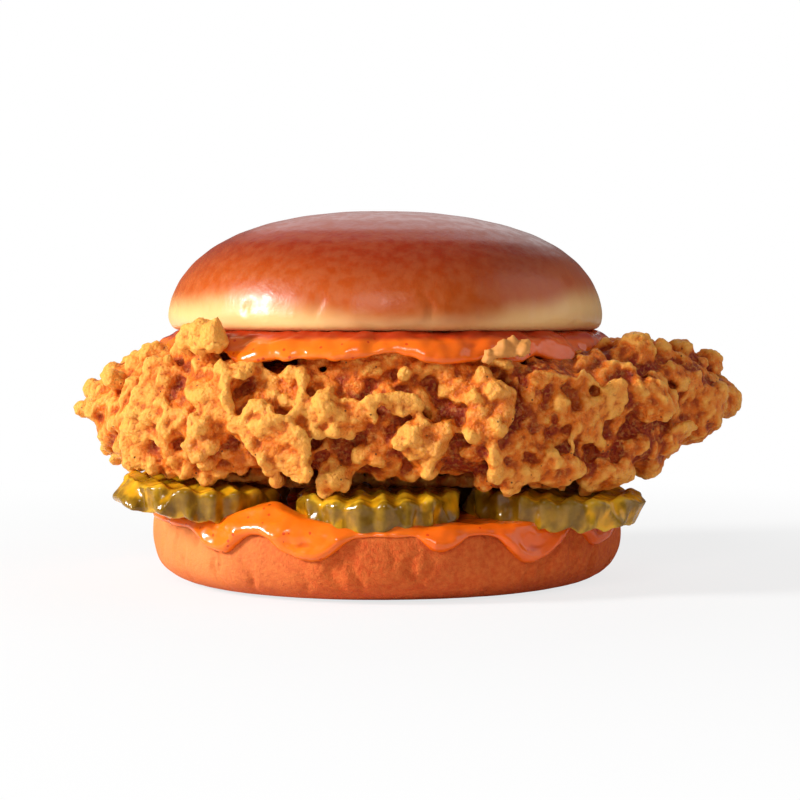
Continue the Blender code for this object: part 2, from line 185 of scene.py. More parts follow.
# Round knobs: x, y or None for one on the front, z, how far out, radius.
KNOBS = (
    (-17.6, None, 41.8, 2.4, 3.7),
    (-24.3, None, 24.2, 2.4, 3.0),
    (-21.6, None, 26.8, 1.6, 2.4),
    (14.2, None, 46.2, 2.4, 2.3),
    (16.7, None, 47.6, 3.0, 2.2),
    (19.2, None, 47.2, 2.6, 2.2),
    (13.8, None, 43.4, 2.8, 2.3),
    (16.8, None, 44.0, 3.4, 2.6),
    (19.0, None, 43.6, 2.8, 2.2),
    (14.2, None, 39.6, 2.8, 2.6),
    (17.4, None, 39.8, 3.2, 2.6),
    (16.2, None, 36.4, 3.0, 2.8),
    (13.4, None, 35.0, 2.4, 2.4),
    (12.8, None, 49.4, 2.0, 2.4),
    (-0.7, None, 35.6, 3.2, 3.2),
    (5.6, None, 31.6, 3.0, 2.8),
    (8.2, None, 35.6, 2.4, 2.6),
    (-2.6, None, 47.4, 2.8, 2.0),
    (6.8, None, 49.6, 2.6, 1.9),
    (1.8, None, 50.4, 2.4, 1.9),
    (45.0, -38.0, 28.0, 1.0, 3.2),
    (36.6, None, 26.6, 2.2, 1.8),
    (49.0, -30.0, 52.4, 0.8, 4.2),
    (60.6, -16.0, 50.6, 0.6, 3.8),
    (67.4, -8.0, 48.0, 0.4, 3.6),
    (72.0, -6.0, 40.0, 0.0, 4.2),
    (-44.4, -41.0, 54.6, -1.6, 3.2),
    (-44.6, -41.0, 57.4, -2.0, 3.0),
    (-41.6, -43.4, 54.8, -1.6, 3.0),
    (-41.2, -43.6, 57.6, -2.0, 2.4),
    (-47.6, -38.2, 54.8, -1.6, 3.2),
    (-47.4, -38.8, 56.8, -2.0, 2.2),
    (-38.0, -44.6, 52.6, -1.6, 3.2),
    (-47.0, -36.0, 52.6, 0.4, 3.2),
    (-50.6, -30.0, 53.4, 0.2, 2.8),
    (-70.6, -10.0, 40.8, 0.2, 3.8),
    (-67.0, -14.0, 46.4, 0.2, 3.4),
    (-62.6, -18.0, 50.8, 0.2, 3.6),
    (-57.0, -24.0, 51.4, 0.4, 3.4),
    (-52.0, -34.0, 24.0, 0.6, 3.0),
    (-49.0, -37.0, 22.6, 1.0, 2.6),
    (-12.6, None, 24.6, 1.6, 2.4),
    (-7.0, None, 25.4, 1.8, 2.8),
    (-1.6, None, 24.4, 1.6, 2.6),
    (3.6, None, 24.8, 2.0, 3.0),
    (8.4, None, 24.2, 1.6, 2.4),
    (13.0, None, 25.2, 1.6, 2.6),
    (30.0, None, 25.6, 1.8, 3.0),
    (38.6, -40.0, 24.6, 1.2, 2.8),
    (46.0, -36.0, 25.4, 0.8, 3.0),
    (52.0, -28.0, 27.4, 0.6, 3.2),
)
# Ropes of crust on the front: how far out, radius, then x, z pairs along the rope.
ROPES = (
    (3.6, 1.35, (-35.0, 37.1, -34.4, 39.7, -32.6, 41.7, -30.4, 42.1, -28.8, 40.9, -28.6, 38.7, -27.4, 37.1,
                 -25.9, 37.6, -24.8, 39.4, -23.0, 40.6, -21.0, 39.4, -19.8, 36.6, -18.8, 33.6)),
    (2.8, 1.5, (-35.0, 37.1, -33.4, 34.1, -30.3, 31.0, -27.8, 28.2, -25.6, 26.2)),
    (2.8, 1.3, (-40.4, 46.8, -39.6, 47.7, -38.5, 46.0, -39.0, 43.8, -38.3, 41.3, -37.4, 38.7, -37.0, 36.0)),
    (2.6, 1.3, (-22.7, 50.6, -22.4, 47.0, -22.0, 44.2, -23.2, 42.2)),
    (2.6, 1.6, (28.4, 32.0, 24.9, 28.6, 22.0, 26.0)),
    (2.6, 2.0, (16.2, 32.4, 17.6, 28.6, 18.9, 25.6, 19.9, 23.8)),
    (3.2, 0.95, (36.0, 37.6, 33.6, 36.8, 32.3, 34.4, 32.7, 31.8)),
    (2.2, 1.1, (9.4, 45.4, 10.6, 46.2, 11.8, 45.0, 10.8, 43.0, 9.2, 43.4)),
    (2.0, 1.4, (-51.6, 41.0, -49.0, 38.6, -46.8, 37.8)),
)
# How far the fillet reaches at each height, in mm, at its blunt end and at its tail.
HEAD_OUTLINE = (
    (21.0, 61.0), (25.0, 66.0), (29.0, 68.4), (36.0, 70.6), (40.0, 74.2), (43.0, 69.6), (46.0, 66.6),
    (50.0, 62.8), (52.5, 57.5),
)
TAIL_OUTLINE = (
    (21.0, 46.0), (24.5, 50.0), (27.0, 57.0), (30.0, 62.5), (33.0, 64.6), (36.0, 71.4), (40.0, 74.4),
    (44.0, 73.4), (48.0, 70.2), (51.5, 63.0), (53.5, 56.0),
)
# Where the fillet's top and belly are bare, and where the crust gives way, in metres. Above: how far it may
# rise in the open, the radius of the sauce's bed and the room left for it, half the width of the front
# lobes, the room under them where they leave the bed, and how steeply they fall from there. Below: the
# heel's radius, the lowest crust past it, and how much higher it stays over the slices.
BARE_RADIUS = 0.052
OPEN_RISE = 0.006
BED_RADIUS = 0.0490
BED_ROOM = 0.0016
LOBES_HALF = 0.040
LOBE_ROOM = 0.0014
LOBE_RADIUS = 0.0500
LOBE_SLOPE = 0.50
HEEL_RADIUS = 0.0515
OUTER_FLOOR = 0.0190
FLOOR_STEP = 0.0035
# How much of the outlines' reach is left to the crust, and where the ends begin to stretch, in metres.
HEAD_COVER = 0.0012
TAIL_COVER = 0.0022
STRETCH_START = 0.042
# Bits of crust on the upper sauce: x, y, z, radius in mm.
CRUMBS = (
    (17.0, -53.4, 52.4, 1.9),
    (19.6, -53.2, 53.2, 2.2),
    (22.2, -52.6, 53.6, 1.8),
    (23.4, -52.0, 54.6, 1.3),
    (-30.0, 46.5, 53.0, 2.0),
    (34.0, 38.0, 53.4, 2.2),
)
CRUMB_KNOBS = 5
# How much further out than its own figure a flake, rope or knob on the front stands, in mm, and a knob with
# its own y. Knobs over HELD_OVER are kept at their own place.
NAMED_LIFT = 1.5
PLACED_LIFT = 2.0
HELD_OVER = 54.0
RANDOM_SEED = 11

# Second colours of each finish, after its main colours in the settings.
CROWN_FRECKLE = (0.80, 0.42, 0.16, 1.0)
HEEL_LIT = (0.84, 0.38, 0.12, 1.0)
HEEL_BLOTCH = (0.50, 0.055, 0.012, 1.0)
HEEL_GRAIN = (0.84, 0.26, 0.06, 1.0)
HEEL_FOOT = (0.52, 0.055, 0.014, 1.0)
HEEL_CUT = (0.72, 0.40, 0.17, 1.0)
CRUST_GRAIN = (0.88, 0.44, 0.10, 1.0)
CRUST_TIP = (0.90, 0.46, 0.10, 1.0)
CRUST_PIT = (0.50, 0.080, 0.006, 1.0)
CRUST_OILY = (0.55, 0.12, 0.012, 1.0)
PEPPER = (0.045, 0.018, 0.008, 1.0)
SAUCE_BLOTCH = (0.90, 0.24, 0.015, 1.0)
SAUCE_SHADE = (0.80, 0.085, 0.002, 1.0)
CHILLI = (0.62, 0.02, 0.004, 1.0)
SAUCE_PEPPER = (0.05, 0.015, 0.006, 1.0)
PICKLE_BLOTCH = (0.30, 0.14, 0.003, 1.0)
PICKLE_RIDGE = (0.72, 0.44, 0.020, 1.0)
PICKLE_GRAIN = (0.60, 0.36, 0.02, 1.0)
WHITE = (1.0, 1.0, 1.0, 1.0)
FLOOR_GREY = (0.86, 0.86, 0.86, 1.0)

CAMERA_PLACE = (-0.00235, -0.4465, 0.0594)
CAMERA_DOWN = 2.41
SURROUNDINGS = 0.16
FLOOR_RADIUS = 3.0
FLOOR_GAP = 0.0002
# Disk lamps: name, place, what it points at, diameter, power in watts.
LAMPS = (
    ("key", (-0.90, -0.32, 0.44), (-0.01, 0.0, 0.04), 0.26, 15.0),
    ("front", (-0.14, -0.88, 0.50), (0.0, 0.0, 0.05), 0.24, 1.9),
    ("right", (0.80, -0.05, 0.42), (0.0, 0.0, 0.05), 0.90, 2.0),
    ("back", (0.05, 0.80, 0.60), (0.0, 0.0, 0.06), 0.70, 1.4),
)


# ---------------------------------------------------------------- settings


class BurgerSizes(PropertyGroup):
    """Sizes that a user would change."""

    crust_voxel: FloatProperty(
        name="Crust Resolution", description="Size of the crust's finest facets",
        default=0.00045, unit="LENGTH"
    )
    crust_depth: FloatProperty(
        name="Crust Depth", description="How far the meat lies under the crust", default=0.0032, unit="LENGTH"
    )
    crust_full: FloatProperty(
        name="Crust Height", description="How far the tallest crust stands", default=0.0068, unit="LENGTH"
    )
    crag_size: FloatProperty(
        name="Crag Size", description="Width of the crust's broad knobs", default=0.0032, unit="LENGTH"
    )
    crag_depth: FloatProperty(
        name="Crag Depth", description="Depth of the creases between broad knobs",
        default=0.00070, unit="LENGTH"
    )
    grain_size: FloatProperty(
        name="Grain Size", description="Width of the crust's small knobs", default=0.0016, unit="LENGTH"
    )
    grain_depth: FloatProperty(
        name="Grain Depth", description="Height of the crust's small knobs", default=0.00062, unit="LENGTH"
    )
    flake_spacing: FloatProperty(
        name="Flake Spacing", description="Least distance between scattered flakes",
        default=0.0042, unit="LENGTH"
    )
    bun_voxel: FloatProperty(
        name="Bun Resolution", description="Size of the bun's facets", default=0.0009, unit="LENGTH"
    )
    lens: FloatProperty(name="Lens", description="Camera lens in millimetres", default=85.5)


class BurgerColours(PropertyGroup):
    """Colours that a user would change."""

    crown_top: FloatVectorProperty(
        name="Crown Top", description="Glazed top of the bun", default=(0.27, 0.019, 0.0005), subtype="COLOR"
    )
    crown_side: FloatVectorProperty(
        name="Crown Side", description="Side of the crown", default=(0.45, 0.070, 0.002), subtype="COLOR"
    )
    crown_rim: FloatVectorProperty(
        name="Crown Rim", description="Pale band along the cut", default=(0.84, 0.50, 0.19), subtype="COLOR"
    )
    heel: FloatVectorProperty(
        name="Heel", description="Side of the lower bun half", default=(0.62, 0.095, 0.014), subtype="COLOR"
    )
    # The raised parts' pale gold is partly painted light.
    crust_peak: FloatVectorProperty(
        name="Crust Peaks", description="Raised parts of the crust",
        default=(0.90, 0.38, 0.060), subtype="COLOR"
    )
    crust_mid: FloatVectorProperty(
        name="Crust", description="Most of the crust", default=(0.74, 0.155, 0.006), subtype="COLOR"
    )
    # Painted shade in the crust's creases and low parts.
    crust_deep: FloatVectorProperty(
        name="Crust Creases", description="Creases of the crust",
        default=(0.24, 0.013, 0.0005), subtype="COLOR"
    )
    sauce: FloatVectorProperty(
        name="Sauce", description="Thick sauce", default=(0.88, 0.15, 0.004), subtype="COLOR"
    )
    # The oil colour, also used as painted shade under the crown and in the sauce's hollows.
    sauce_oil: FloatVectorProperty(
        name="Sauce Oil", description="Oil at the sauce's edges",
        default=(0.42, 0.022, 0.004), subtype="COLOR"
    )
    pickle_flesh: FloatVectorProperty(
        name="Pickle Flesh", description="Flesh of a slice", default=(0.80, 0.36, 0.005), subtype="COLOR"
    )
    pickle_skin: FloatVectorProperty(
        name="Pickle Skin", description="Skin of a slice", default=(0.17, 0.076, 0.0015), subtype="COLOR"
    )


def sizes():
    """The sizes in the settings."""
    return bpy.context.scene.burger_sizes


def colour(name):
    """A colour from the settings, with alpha."""
    return (*getattr(bpy.context.scene.burger_colours, name), 1.0)


# ---------------------------------------------------------------- mesh helpers


def only(*objects):
    """Selects these objects and nothing else. The first is active."""
    bpy.ops.object.select_all(action="DESELECT")
    for obj in objects:
        obj.select_set(True)
    bpy.context.view_layer.objects.active = objects[0]


def apply_modifiers(obj):
    only(obj)
    for modifier in list(obj.modifiers):
        bpy.ops.object.modifier_apply(modifier=modifier.name)


def rows_of(values, key):
    """Three numbers of each vertex as rows of an array."""
    flat = np.empty(len(values) * 3, dtype=np.float32)
    values.foreach_get(key, flat)
    return flat.reshape(-1, 3).astype(float)


def points_of(obj):
    return rows_of(obj.data.vertices, "co")


def normals_of(obj):
    return rows_of(obj.data.vertex_normals, "vector")


def move_points(obj, points):
    obj.data.vertices.foreach_set("co", np.asarray(points, dtype=np.float32).ravel())
    obj.data.update()


def copy_of(obj, name):
    """A new object with a copy of another's mesh, selected alone."""
    made = bpy.data.objects.new(name, obj.data.copy())
    bpy.context.scene.collection.objects.link(made)
    only(made)
    return made


def copy_of_node(node, name):
    """A copy of a CAD node's mesh as a new piece, its loose triangles merged."""
    obj = copy_of(frame["nodes"][node], name)
    bpy.ops.object.mode_set(mode="EDIT")
    bpy.ops.mesh.select_all(action="SELECT")
    bpy.ops.mesh.remove_doubles(threshold=1e-6)
    bpy.ops.object.mode_set(mode="OBJECT")
    obj.data.materials.clear()
    return obj


def remesh(obj, voxel):
    """Rebuilds the surface from even facets, which also melts overlapping forms into one skin."""
    modifier = obj.modifiers.new("even", "REMESH")
    modifier.mode = "VOXEL"
    modifier.voxel_size = voxel
    modifier.use_smooth_shade = True
    apply_modifiers(obj)


def soften(obj, times, factor=0.5):
    modifier = obj.modifiers.new("soften", "SMOOTH")
    modifier.iterations = times
    modifier.factor = factor
    apply_modifiers(obj)


def roughen(obj, kind, size, depth, middle=0.5):
    """Pushes the surface in and out by a 3-D texture: rounded knobs between creases, or clouds."""
    texture = bpy.data.textures.new(f"{kind}_{size}", kind)
    texture.noise_scale = size
    if kind == "VORONOI":
        texture.distance_metric = "DISTANCE_SQUARED"
        depth = -depth
    else:
        texture.noise_depth = 2
    modifier = obj.modifiers.new("relief", "DISPLACE")
    modifier.texture = texture
    modifier.texture_coords = "LOCAL"
    modifier.strength = depth
    modifier.mid_level = middle
    apply_modifiers(obj)


def neighbour_mean(obj, values, times):
    """Values per vertex, averaged with their neighbours' a number of times."""
    count = len(obj.data.vertices)
    ends = np.empty(len(obj.data.edges) * 2, dtype=np.int32)
    obj.data.edges.foreach_get("vertices", ends)
    a, b = ends.reshape(-1, 2).T
    degree = np.maximum(np.bincount(a, minlength=count) + np.bincount(b, minlength=count), 1)
    for _ in range(times):
        total = np.stack(
            [
                np.bincount(a, column[b], minlength=count) + np.bincount(b, column[a], minlength=count)
                for column in values.T
            ],
            axis=1,
        )
        values = 0.5 * values + 0.5 * total / degree[:, None]
    return values


def store_relief(obj, name, broad=26, fine=4, standing=None):
    """Stores how far each vertex stands out of its surroundings: broadly in red, finely in green.

    Blue holds the standing height over the core, from 0 to 1, where it is given.
    """
    points = points_of(obj)
    normals = normals_of(obj)
    near = neighbour_mean(obj, points, fine)
    far = neighbour_mean(obj, near, broad)
    fine_out = ((points - near) * normals).sum(axis=1)
    broad_out = ((near - far) * normals).sum(axis=1)
    if standing is None:
        standing = np.full(len(points), 0.5)
    shade = np.stack(
        [
            0.5 + broad_out / (4.0 * max(broad_out.std(), 1e-9)),
            0.5 + fine_out / (4.0 * max(fine_out.std(), 1e-9)),
            standing,
            np.ones(len(points)),
        ],
        axis=1,
    )
    attribute = obj.data.attributes.new(name, "FLOAT_COLOR", "POINT")
    attribute.data.foreach_set("color", np.clip(shade, 0.0, 1.0).astype(np.float32).ravel())


def finish_piece(obj, body, slot, material, *nodes):
    """Gives a piece its material, and says what it rides on and what it replaces. The slot, for what it takes
    its finish from, is not used.
    """
    obj.data.materials.clear()
    obj.data.materials.append(material)
    only(obj)
    bpy.ops.object.shade_smooth()
    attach(obj, body)
    if nodes:
        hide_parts(*nodes)


def swell(angle, middle, half_width):
    """1 at the middle angle, falling smoothly to 0 past the half width. Angles are arrays in degrees."""
    away = (angle - middle + 180.0) % 360.0 - 180.0
    return np.exp(-((np.abs(away) / half_width) ** 2.6))


def noise_at(points, size, seed=0.0):
    """Smooth noise from -1 to 1 at each row of an array of points."""
    shift = Vector((seed, seed * 1.7, seed * 2.3))
    return np.array([noise.noise(Vector(point) / size + shift) for point in points])


# ---------------------------------------------------------------- shader helpers


def set_input(tree, socket, value):
    """Gives a socket its value, or links it from the socket that is given."""
    if isinstance(value, bpy.types.NodeSocket):
        tree.links.new(value, socket)
    else:
        socket.default_value = value


def add_node(tree, kind, inputs=None, **settings):
    """Adds a shader node. An input is a value, or the socket to link from."""
    made = tree.nodes.new(kind)
    for name, value in settings.items():
        setattr(made, name, value)
    for key, value in (inputs or {}).items():
        set_input(tree, made.inputs[key], value)
    return made


def mix(tree, factor, first, second):
    """The first colour at factor 0, the second at 1."""
    inputs = {0: factor, 6: first, 7: second}
    return add_node(tree, "ShaderNodeMix", inputs, data_type="RGBA").outputs[2]


def calc(tree, operation, first, second):
    return add_node(tree, "ShaderNodeMath", {0: first, 1: second}, operation=operation).outputs[0]


def span(tree, value, low, high, to_low=0.0, to_high=1.0):
    """Maps low..high to to_low..to_high, smoothly and clamped."""
    made = add_node(
        tree,
        "ShaderNodeMapRange",
        {"Value": value, "From Min": low, "From Max": high, "To Min": to_low, "To Max": to_high},
        interpolation_type="SMOOTHSTEP",
    )
    return made.outputs[0]


def noise_tex(tree, vector, scale, detail=3.0, rough=0.55):
    inputs = {"Vector": vector, "Scale": scale, "Detail": detail, "Roughness": rough}
    return add_node(tree, "ShaderNodeTexNoise", inputs).outputs["Fac"]


def object_coords(tree):
    return add_node(tree, "ShaderNodeTexCoord").outputs["Object"]


def group_sockets(tree, inputs, outputs):
    """Declares a node group's sockets and returns its input and output nodes."""
    for name, kind, value in inputs:
        socket = tree.interface.new_socket(name, in_out="INPUT", socket_type=kind)
        if value is not None:
            socket.default_value = value
    for name, kind in outputs:
        tree.interface.new_socket(name, in_out="OUTPUT", socket_type=kind)
    return tree.nodes.new("NodeGroupInput"), tree.nodes.new("NodeGroupOutput")


def specks_group():
    """Sparse round specks, such as ground pepper or chilli: a mask of 1 on a speck."""
    if "specks" in bpy.data.node_groups:
        return bpy.data.node_groups["specks"]
    tree = bpy.data.node_groups.new("specks", "ShaderNodeTree")
    source, result = group_sockets(
        tree,
        (
            ("Vector", "NodeSocketVector", None),
            ("Scale", "NodeSocketFloat", 500.0),
            ("Share", "NodeSocketFloat", 0.1),
            ("Size", "NodeSocketFloat", 0.25),
        ),
        (("Mask", "NodeSocketFloat"),),
    )
    cells = add_node(
        tree, "ShaderNodeTexVoronoi", {"Vector": source.outputs["Vector"], "Scale": source.outputs["Scale"]}
    )
    pick = add_node(tree, "ShaderNodeSeparateColor", {0: cells.outputs["Color"]}).outputs[0]
    chosen = calc(tree, "LESS_THAN", pick, source.outputs["Share"])
    inside = calc(tree, "LESS_THAN", cells.outputs["Distance"], source.outputs["Size"])
    tree.links.new(calc(tree, "MULTIPLY", chosen, inside), result.inputs["Mask"])
    return tree


def mottle_group():
    """Blotches at two sizes, from 0 to 1, as in baked and fried things."""
    if "mottle" in bpy.data.node_groups:
        return bpy.data.node_groups["mottle"]
    tree = bpy.data.node_groups.new("mottle", "ShaderNodeTree")
    source, result = group_sockets(
        tree,
        (
            ("Vector", "NodeSocketVector", None),
            ("Broad", "NodeSocketFloat", 60.0),
            ("Fine", "NodeSocketFloat", 400.0),
        ),
        (("Blotch", "NodeSocketFloat"), ("Grain", "NodeSocketFloat")),
    )
    for scale, name in (("Broad", "Blotch"), ("Fine", "Grain")):
        value = add_node(
            tree,
            "ShaderNodeTexNoise",
            {"Vector": source.outputs["Vector"], "Scale": source.outputs[scale], "Detail": 3.0},
        ).outputs["Fac"]
        tree.links.new(span(tree, value, 0.3, 0.7), result.inputs[name])
    return tree


def specks(tree, vector, scale, share, size):
    """A mask of 1 on specks: how dense their cells are, the share that holds one, and its size in a cell."""
    inputs = {"Vector": vector, "Scale": scale, "Share": share, "Size": size}
    return add_node(tree, "ShaderNodeGroup", inputs, node_tree=specks_group()).outputs["Mask"]


def mottle(tree, vector, broad, fine):
    inputs = {"Vector": vector, "Broad": broad, "Fine": fine}
    made = add_node(tree, "ShaderNodeGroup", inputs, node_tree=mottle_group())
    return made.outputs["Blotch"], made.outputs["Grain"]


def new_material(name):
    """A new material, its tree and its Principled shader."""
    material = bpy.data.materials.new(name)
    material.use_nodes = True
    tree = material.node_tree
    return material, tree, tree.nodes["Principled BSDF"]


def wire(tree, shader, base, roughness, height, bump, distance):
    """Links colour, roughness and bump to a shader."""
    tree.links.new(base, shader.inputs["Base Color"])
    tree.links.new(roughness, shader.inputs["Roughness"])
    relief = add_node(tree, "ShaderNodeBump", {"Strength": bump, "Distance": distance, "Height": height})
    tree.links.new(relief.outputs["Normal"], shader.inputs["Normal"])


def wet_coat(shader, weight, roughness):
    """A clear film of liquid over the surface."""
    shader.inputs["Coat Weight"].default_value = weight
    shader.inputs["Coat Roughness"].default_value = roughness


def split_coords(tree, place):
    """X, Y and Z of the object coordinates, as a node's outputs."""
    return add_node(tree, "ShaderNodeSeparateXYZ", {0: place}).outputs


def stored(tree, name):
    """The channels of a colour that is stored in the mesh, as a node's outputs."""
    attribute = add_node(tree, "ShaderNodeAttribute", attribute_name=name)
    return add_node(tree, "ShaderNodeSeparateColor", {0: attribute.outputs["Color"]}).outputs


def centred(tree, value, amount):
    """A value from 0 to 1 turned to one around zero, times an amount."""
    return calc(tree, "MULTIPLY", calc(tree, "SUBTRACT", value, 0.5), amount)


def tinted(tree, base, tint, value, amount):
    """The base, turned towards a tint by a value times an amount."""
    return mix(tree, calc(tree, "MULTIPLY", value, amount), base, tint)


def soft_inside(shader, weight, scale, radius):
    """A little light carried below the surface."""
    shader.inputs["Subsurface Weight"].default_value = weight
    shader.inputs["Subsurface Scale"].default_value = scale
    shader.inputs["Subsurface Radius"].default_value = radius


# ---------------------------------------------------------------- materials


def crown_material():
    material, tree, shader = new_material("crown_glaze")
    place = object_coords(tree)
    parts = split_coords(tree, place)
    blotch, grain = mottle(tree, place, 32.0, 420.0)
    low, high = CROWN_LOW.z, CROWN_HIGH.z
    # Painted light: the pale rim band and the side colour reach higher on the left, where the key lamp falls,
    # and on the right, where the right lamp lights it.
    left = span(tree, parts["X"], -0.052, -0.004, 0.0050, 0.0)
    right = span(tree, parts["X"], 0.008, 0.044, 0.0, 0.0060)
    height = calc(tree, "SUBTRACT", calc(tree, "SUBTRACT", parts["Z"], left), right)
    height = calc(tree, "ADD", height, centred(tree, blotch, 0.0022))
    above_rim = span(tree, height, low - 0.0015, low + 0.0056)
    base = mix(tree, above_rim, colour("crown_rim"), colour("crown_side"))
    base = mix(tree, span(tree, height, low + 0.004, high - 0.010), base, colour("crown_top"))
    base = tinted(tree, base, CROWN_FRECKLE, grain, 0.06)
    roughness = span(tree, grain, 0.0, 1.0, 0.28, 0.38)
    fine = noise_tex(tree, place, 900.0, 2.0)
    coarse = noise_tex(tree, place, 260.0, 3.0)
    relief = calc(tree, "ADD", fine, calc(tree, "MULTIPLY", coarse, 0.5))
    wire(tree, shader, base, roughness, relief, bump=0.12, distance=0.0004)
    shader.inputs["Specular IOR Level"].default_value = 0.35
    soft_inside(shader, 0.08, 0.002, (1.0, 0.4, 0.15))
    return material


def heel_material():
    material, tree, shader = new_material("heel_crust")
    place = object_coords(tree)
    parts = split_coords(tree, place)
    blotch, grain = mottle(tree, place, 75.0, 900.0)
    # Painted light: paler tan towards the left side, where the key lamp falls.
    side = span(tree, parts["X"], -0.062, -0.010, 0.62, 0.0)
    base = mix(tree, side, colour("heel"), HEEL_LIT)
    base = tinted(tree, base, HEEL_BLOTCH, blotch, 0.35)
    base = tinted(tree, base, HEEL_GRAIN, grain, 0.32)
    base = mix(tree, span(tree, parts["Z"], 0.0, 0.006, 0.35, 0.0), base, HEEL_FOOT)
    cut = span(tree, parts["Z"], HEEL_HIGH.z - 0.0012, HEEL_HIGH.z - 0.0002)
    base = tinted(tree, base, HEEL_CUT, cut, 0.6)
    fine = noise_tex(tree, place, 1400.0, 3.0, 0.7)
    wire(tree, shader, base, span(tree, grain, 0.0, 1.0, 0.72, 0.86), fine, bump=0.75, distance=0.0006)
    shader.inputs["Specular IOR Level"].default_value = 0.15
    return material


def crust_material():
    material, tree, shader = new_material("fried_crust")
    place = object_coords(tree)
    relief = stored(tree, "relief")
    broad, fine, standing = relief[0], relief[1], relief[2]
    blotch, grain = mottle(tree, place, 110.0, 1100.0)
    # Painted shade and light: by the stored relief and the standing height over the core, the colour runs
    # from dark crease shade in hollows and low parts to pale gold on raised parts.
    level = calc(tree, "ADD", calc(tree, "MULTIPLY", broad, 0.62), calc(tree, "MULTIPLY", standing, 0.42))
    level = calc(tree, "ADD", level, centred(tree, blotch, 0.34))
    # Painted light and shade: lighter on the left, where the key lamp falls, darker on the shaded right.
    along = split_coords(tree, place)["X"]
    level = calc(tree, "ADD", level, span(tree, along, -0.050, 0.030, 0.12, -0.10))
    base = mix(tree, span(tree, level, 0.16, 0.48), colour("crust_deep"), colour("crust_mid"))
    base = mix(tree, span(tree, level, 0.44, 0.88), base, colour("crust_peak"))
    base = mix(tree, span(tree, grain, 0.55, 1.0, 0.0, 0.30), base, CRUST_GRAIN)
    # Painted light on the fine tips and painted shade in the fine pits, by the stored fine relief.
    base = mix(tree, span(tree, fine, 0.66, 1.0, 0.0, 0.30), base, CRUST_TIP)
    base = mix(tree, span(tree, fine, 0.44, 0.12, 0.0, 0.60), base, CRUST_PIT)
    oily = noise_tex(tree, place, 45.0, 2.0)
    base = mix(tree, span(tree, oily, 0.58, 0.75, 0.0, 0.45), base, CRUST_OILY)
    base = tinted(tree, base, PEPPER, specks(tree, place, 950.0, 0.05, 0.20), 0.85)
    roughness = span(tree, oily, 0.42, 0.66, 0.50, 0.26)
    crumbs = add_node(tree, "ShaderNodeTexVoronoi", {"Vector": place, "Scale": 1300.0}).outputs["Distance"]
    grit = noise_tex(tree, place, 900.0, 5.0, 0.7)
    bumps = calc(tree, "SUBTRACT", grit, calc(tree, "MULTIPLY", crumbs, 0.45))
    wire(tree, shader, base, roughness, bumps, bump=0.80, distance=0.0008)
    shader.inputs["Specular IOR Level"].default_value = 0.22
    soft_inside(shader, 0.20, 0.0025, (1.0, 0.40, 0.10))
    return material


def sauce_material(name, oil_top=None):
    """Glossy sauce. Above the given height, against the bun, it darkens: partly oil, partly painted shade
    under the crown.
    """
    material, tree, shader = new_material(name)
    place = object_coords(tree)
    parts = split_coords(tree, place)
    blotch, grain = mottle(tree, place, 130.0, 700.0)
    base = tinted(tree, colour("sauce"), SAUCE_BLOTCH, blotch, 0.35)
    # Painted shade: darker towards the right, away from the key lamp.
    base = mix(tree, span(tree, parts["X"], -0.030, 0.030, 0.0, 0.55), base, SAUCE_SHADE)
    # Painted shade: the oil colour where the sauce lies lower than its surroundings, in its hollows.
    thin = span(tree, stored(tree, "relief")[0], 0.42, 0.10, 0.0, 0.6)
    base = mix(tree, thin, base, colour("sauce_oil"))
    base = tinted(tree, base, CHILLI, specks(tree, place, 900.0, 0.10, 0.3), 0.7)
    base = tinted(tree, base, SAUCE_PEPPER, specks(tree, place, 600.0, 0.02, 0.22), 0.8)
    if oil_top is not None:
        # Partly oil, partly painted shade: darker red near the top, under the crown.
        wander = calc(tree, "MULTIPLY", noise_tex(tree, place, 120.0), 0.0016)
        height = calc(tree, "ADD", parts["Z"], wander)
        oily = span(tree, height, oil_top - 0.0006, oil_top + 0.0006, 0.0, 0.92)
        base = mix(tree, oily, base, colour("sauce_oil"))
    roughness = span(tree, grain, 0.0, 1.0, 0.13, 0.24)
    wire(tree, shader, base, roughness, noise_tex(tree, place, 350.0, 2.0), bump=0.06, distance=0.0004)
    shader.inputs["Specular IOR Level"].default_value = 0.40
    wet_coat(shader, 0.15, 0.08)
    soft_inside(shader, 0.15, 0.0015, (1.0, 0.3, 0.05))
    return material


def pickle_material():
    material, tree, shader = new_material("pickle_slice")
    place = object_coords(tree)
    zone = stored(tree, "zone")
    skin, ridge = zone[0], zone[1]
    blotch, grain = mottle(tree, place, 170.0, 700.0)
    base = mix(tree, blotch, colour("pickle_flesh"), PICKLE_BLOTCH)
    # Painted highlight: paler yellow-green along the crinkle crests.
    base = mix(tree, span(tree, ridge, 0.55, 1.0, 0.0, 0.6), base, PICKLE_RIDGE)
    wander = calc(tree, "ADD", skin, centred(tree, blotch, 0.5))
    base = mix(tree, span(tree, wander, 0.35, 0.85, 0.0, 0.92), base, colour("pickle_skin"))
    base = tinted(tree, base, PICKLE_GRAIN, grain, 0.15)
    roughness = span(tree, grain, 0.0, 1.0, 0.10, 0.24)
    wire(tree, shader, base, roughness, noise_tex(tree, place, 420.0, 3.0), bump=0.16, distance=0.0004)
    shader.inputs["Specular IOR Level"].default_value = 0.35
    wet_coat(shader, 0.12, 0.06)
    soft_inside(shader, 0.20, 0.003, (0.9, 0.8, 0.2))
    return material


# ---------------------------------------------------------------- bun


def polar(points, axis):
    """Angle in degrees and radius of each point about a vertical axis."""
    x, y = points[:, 0] - axis.x, points[:, 1] - axis.y
    return np.degrees(np.arctan2(y, x)), np.hypot(x, y)


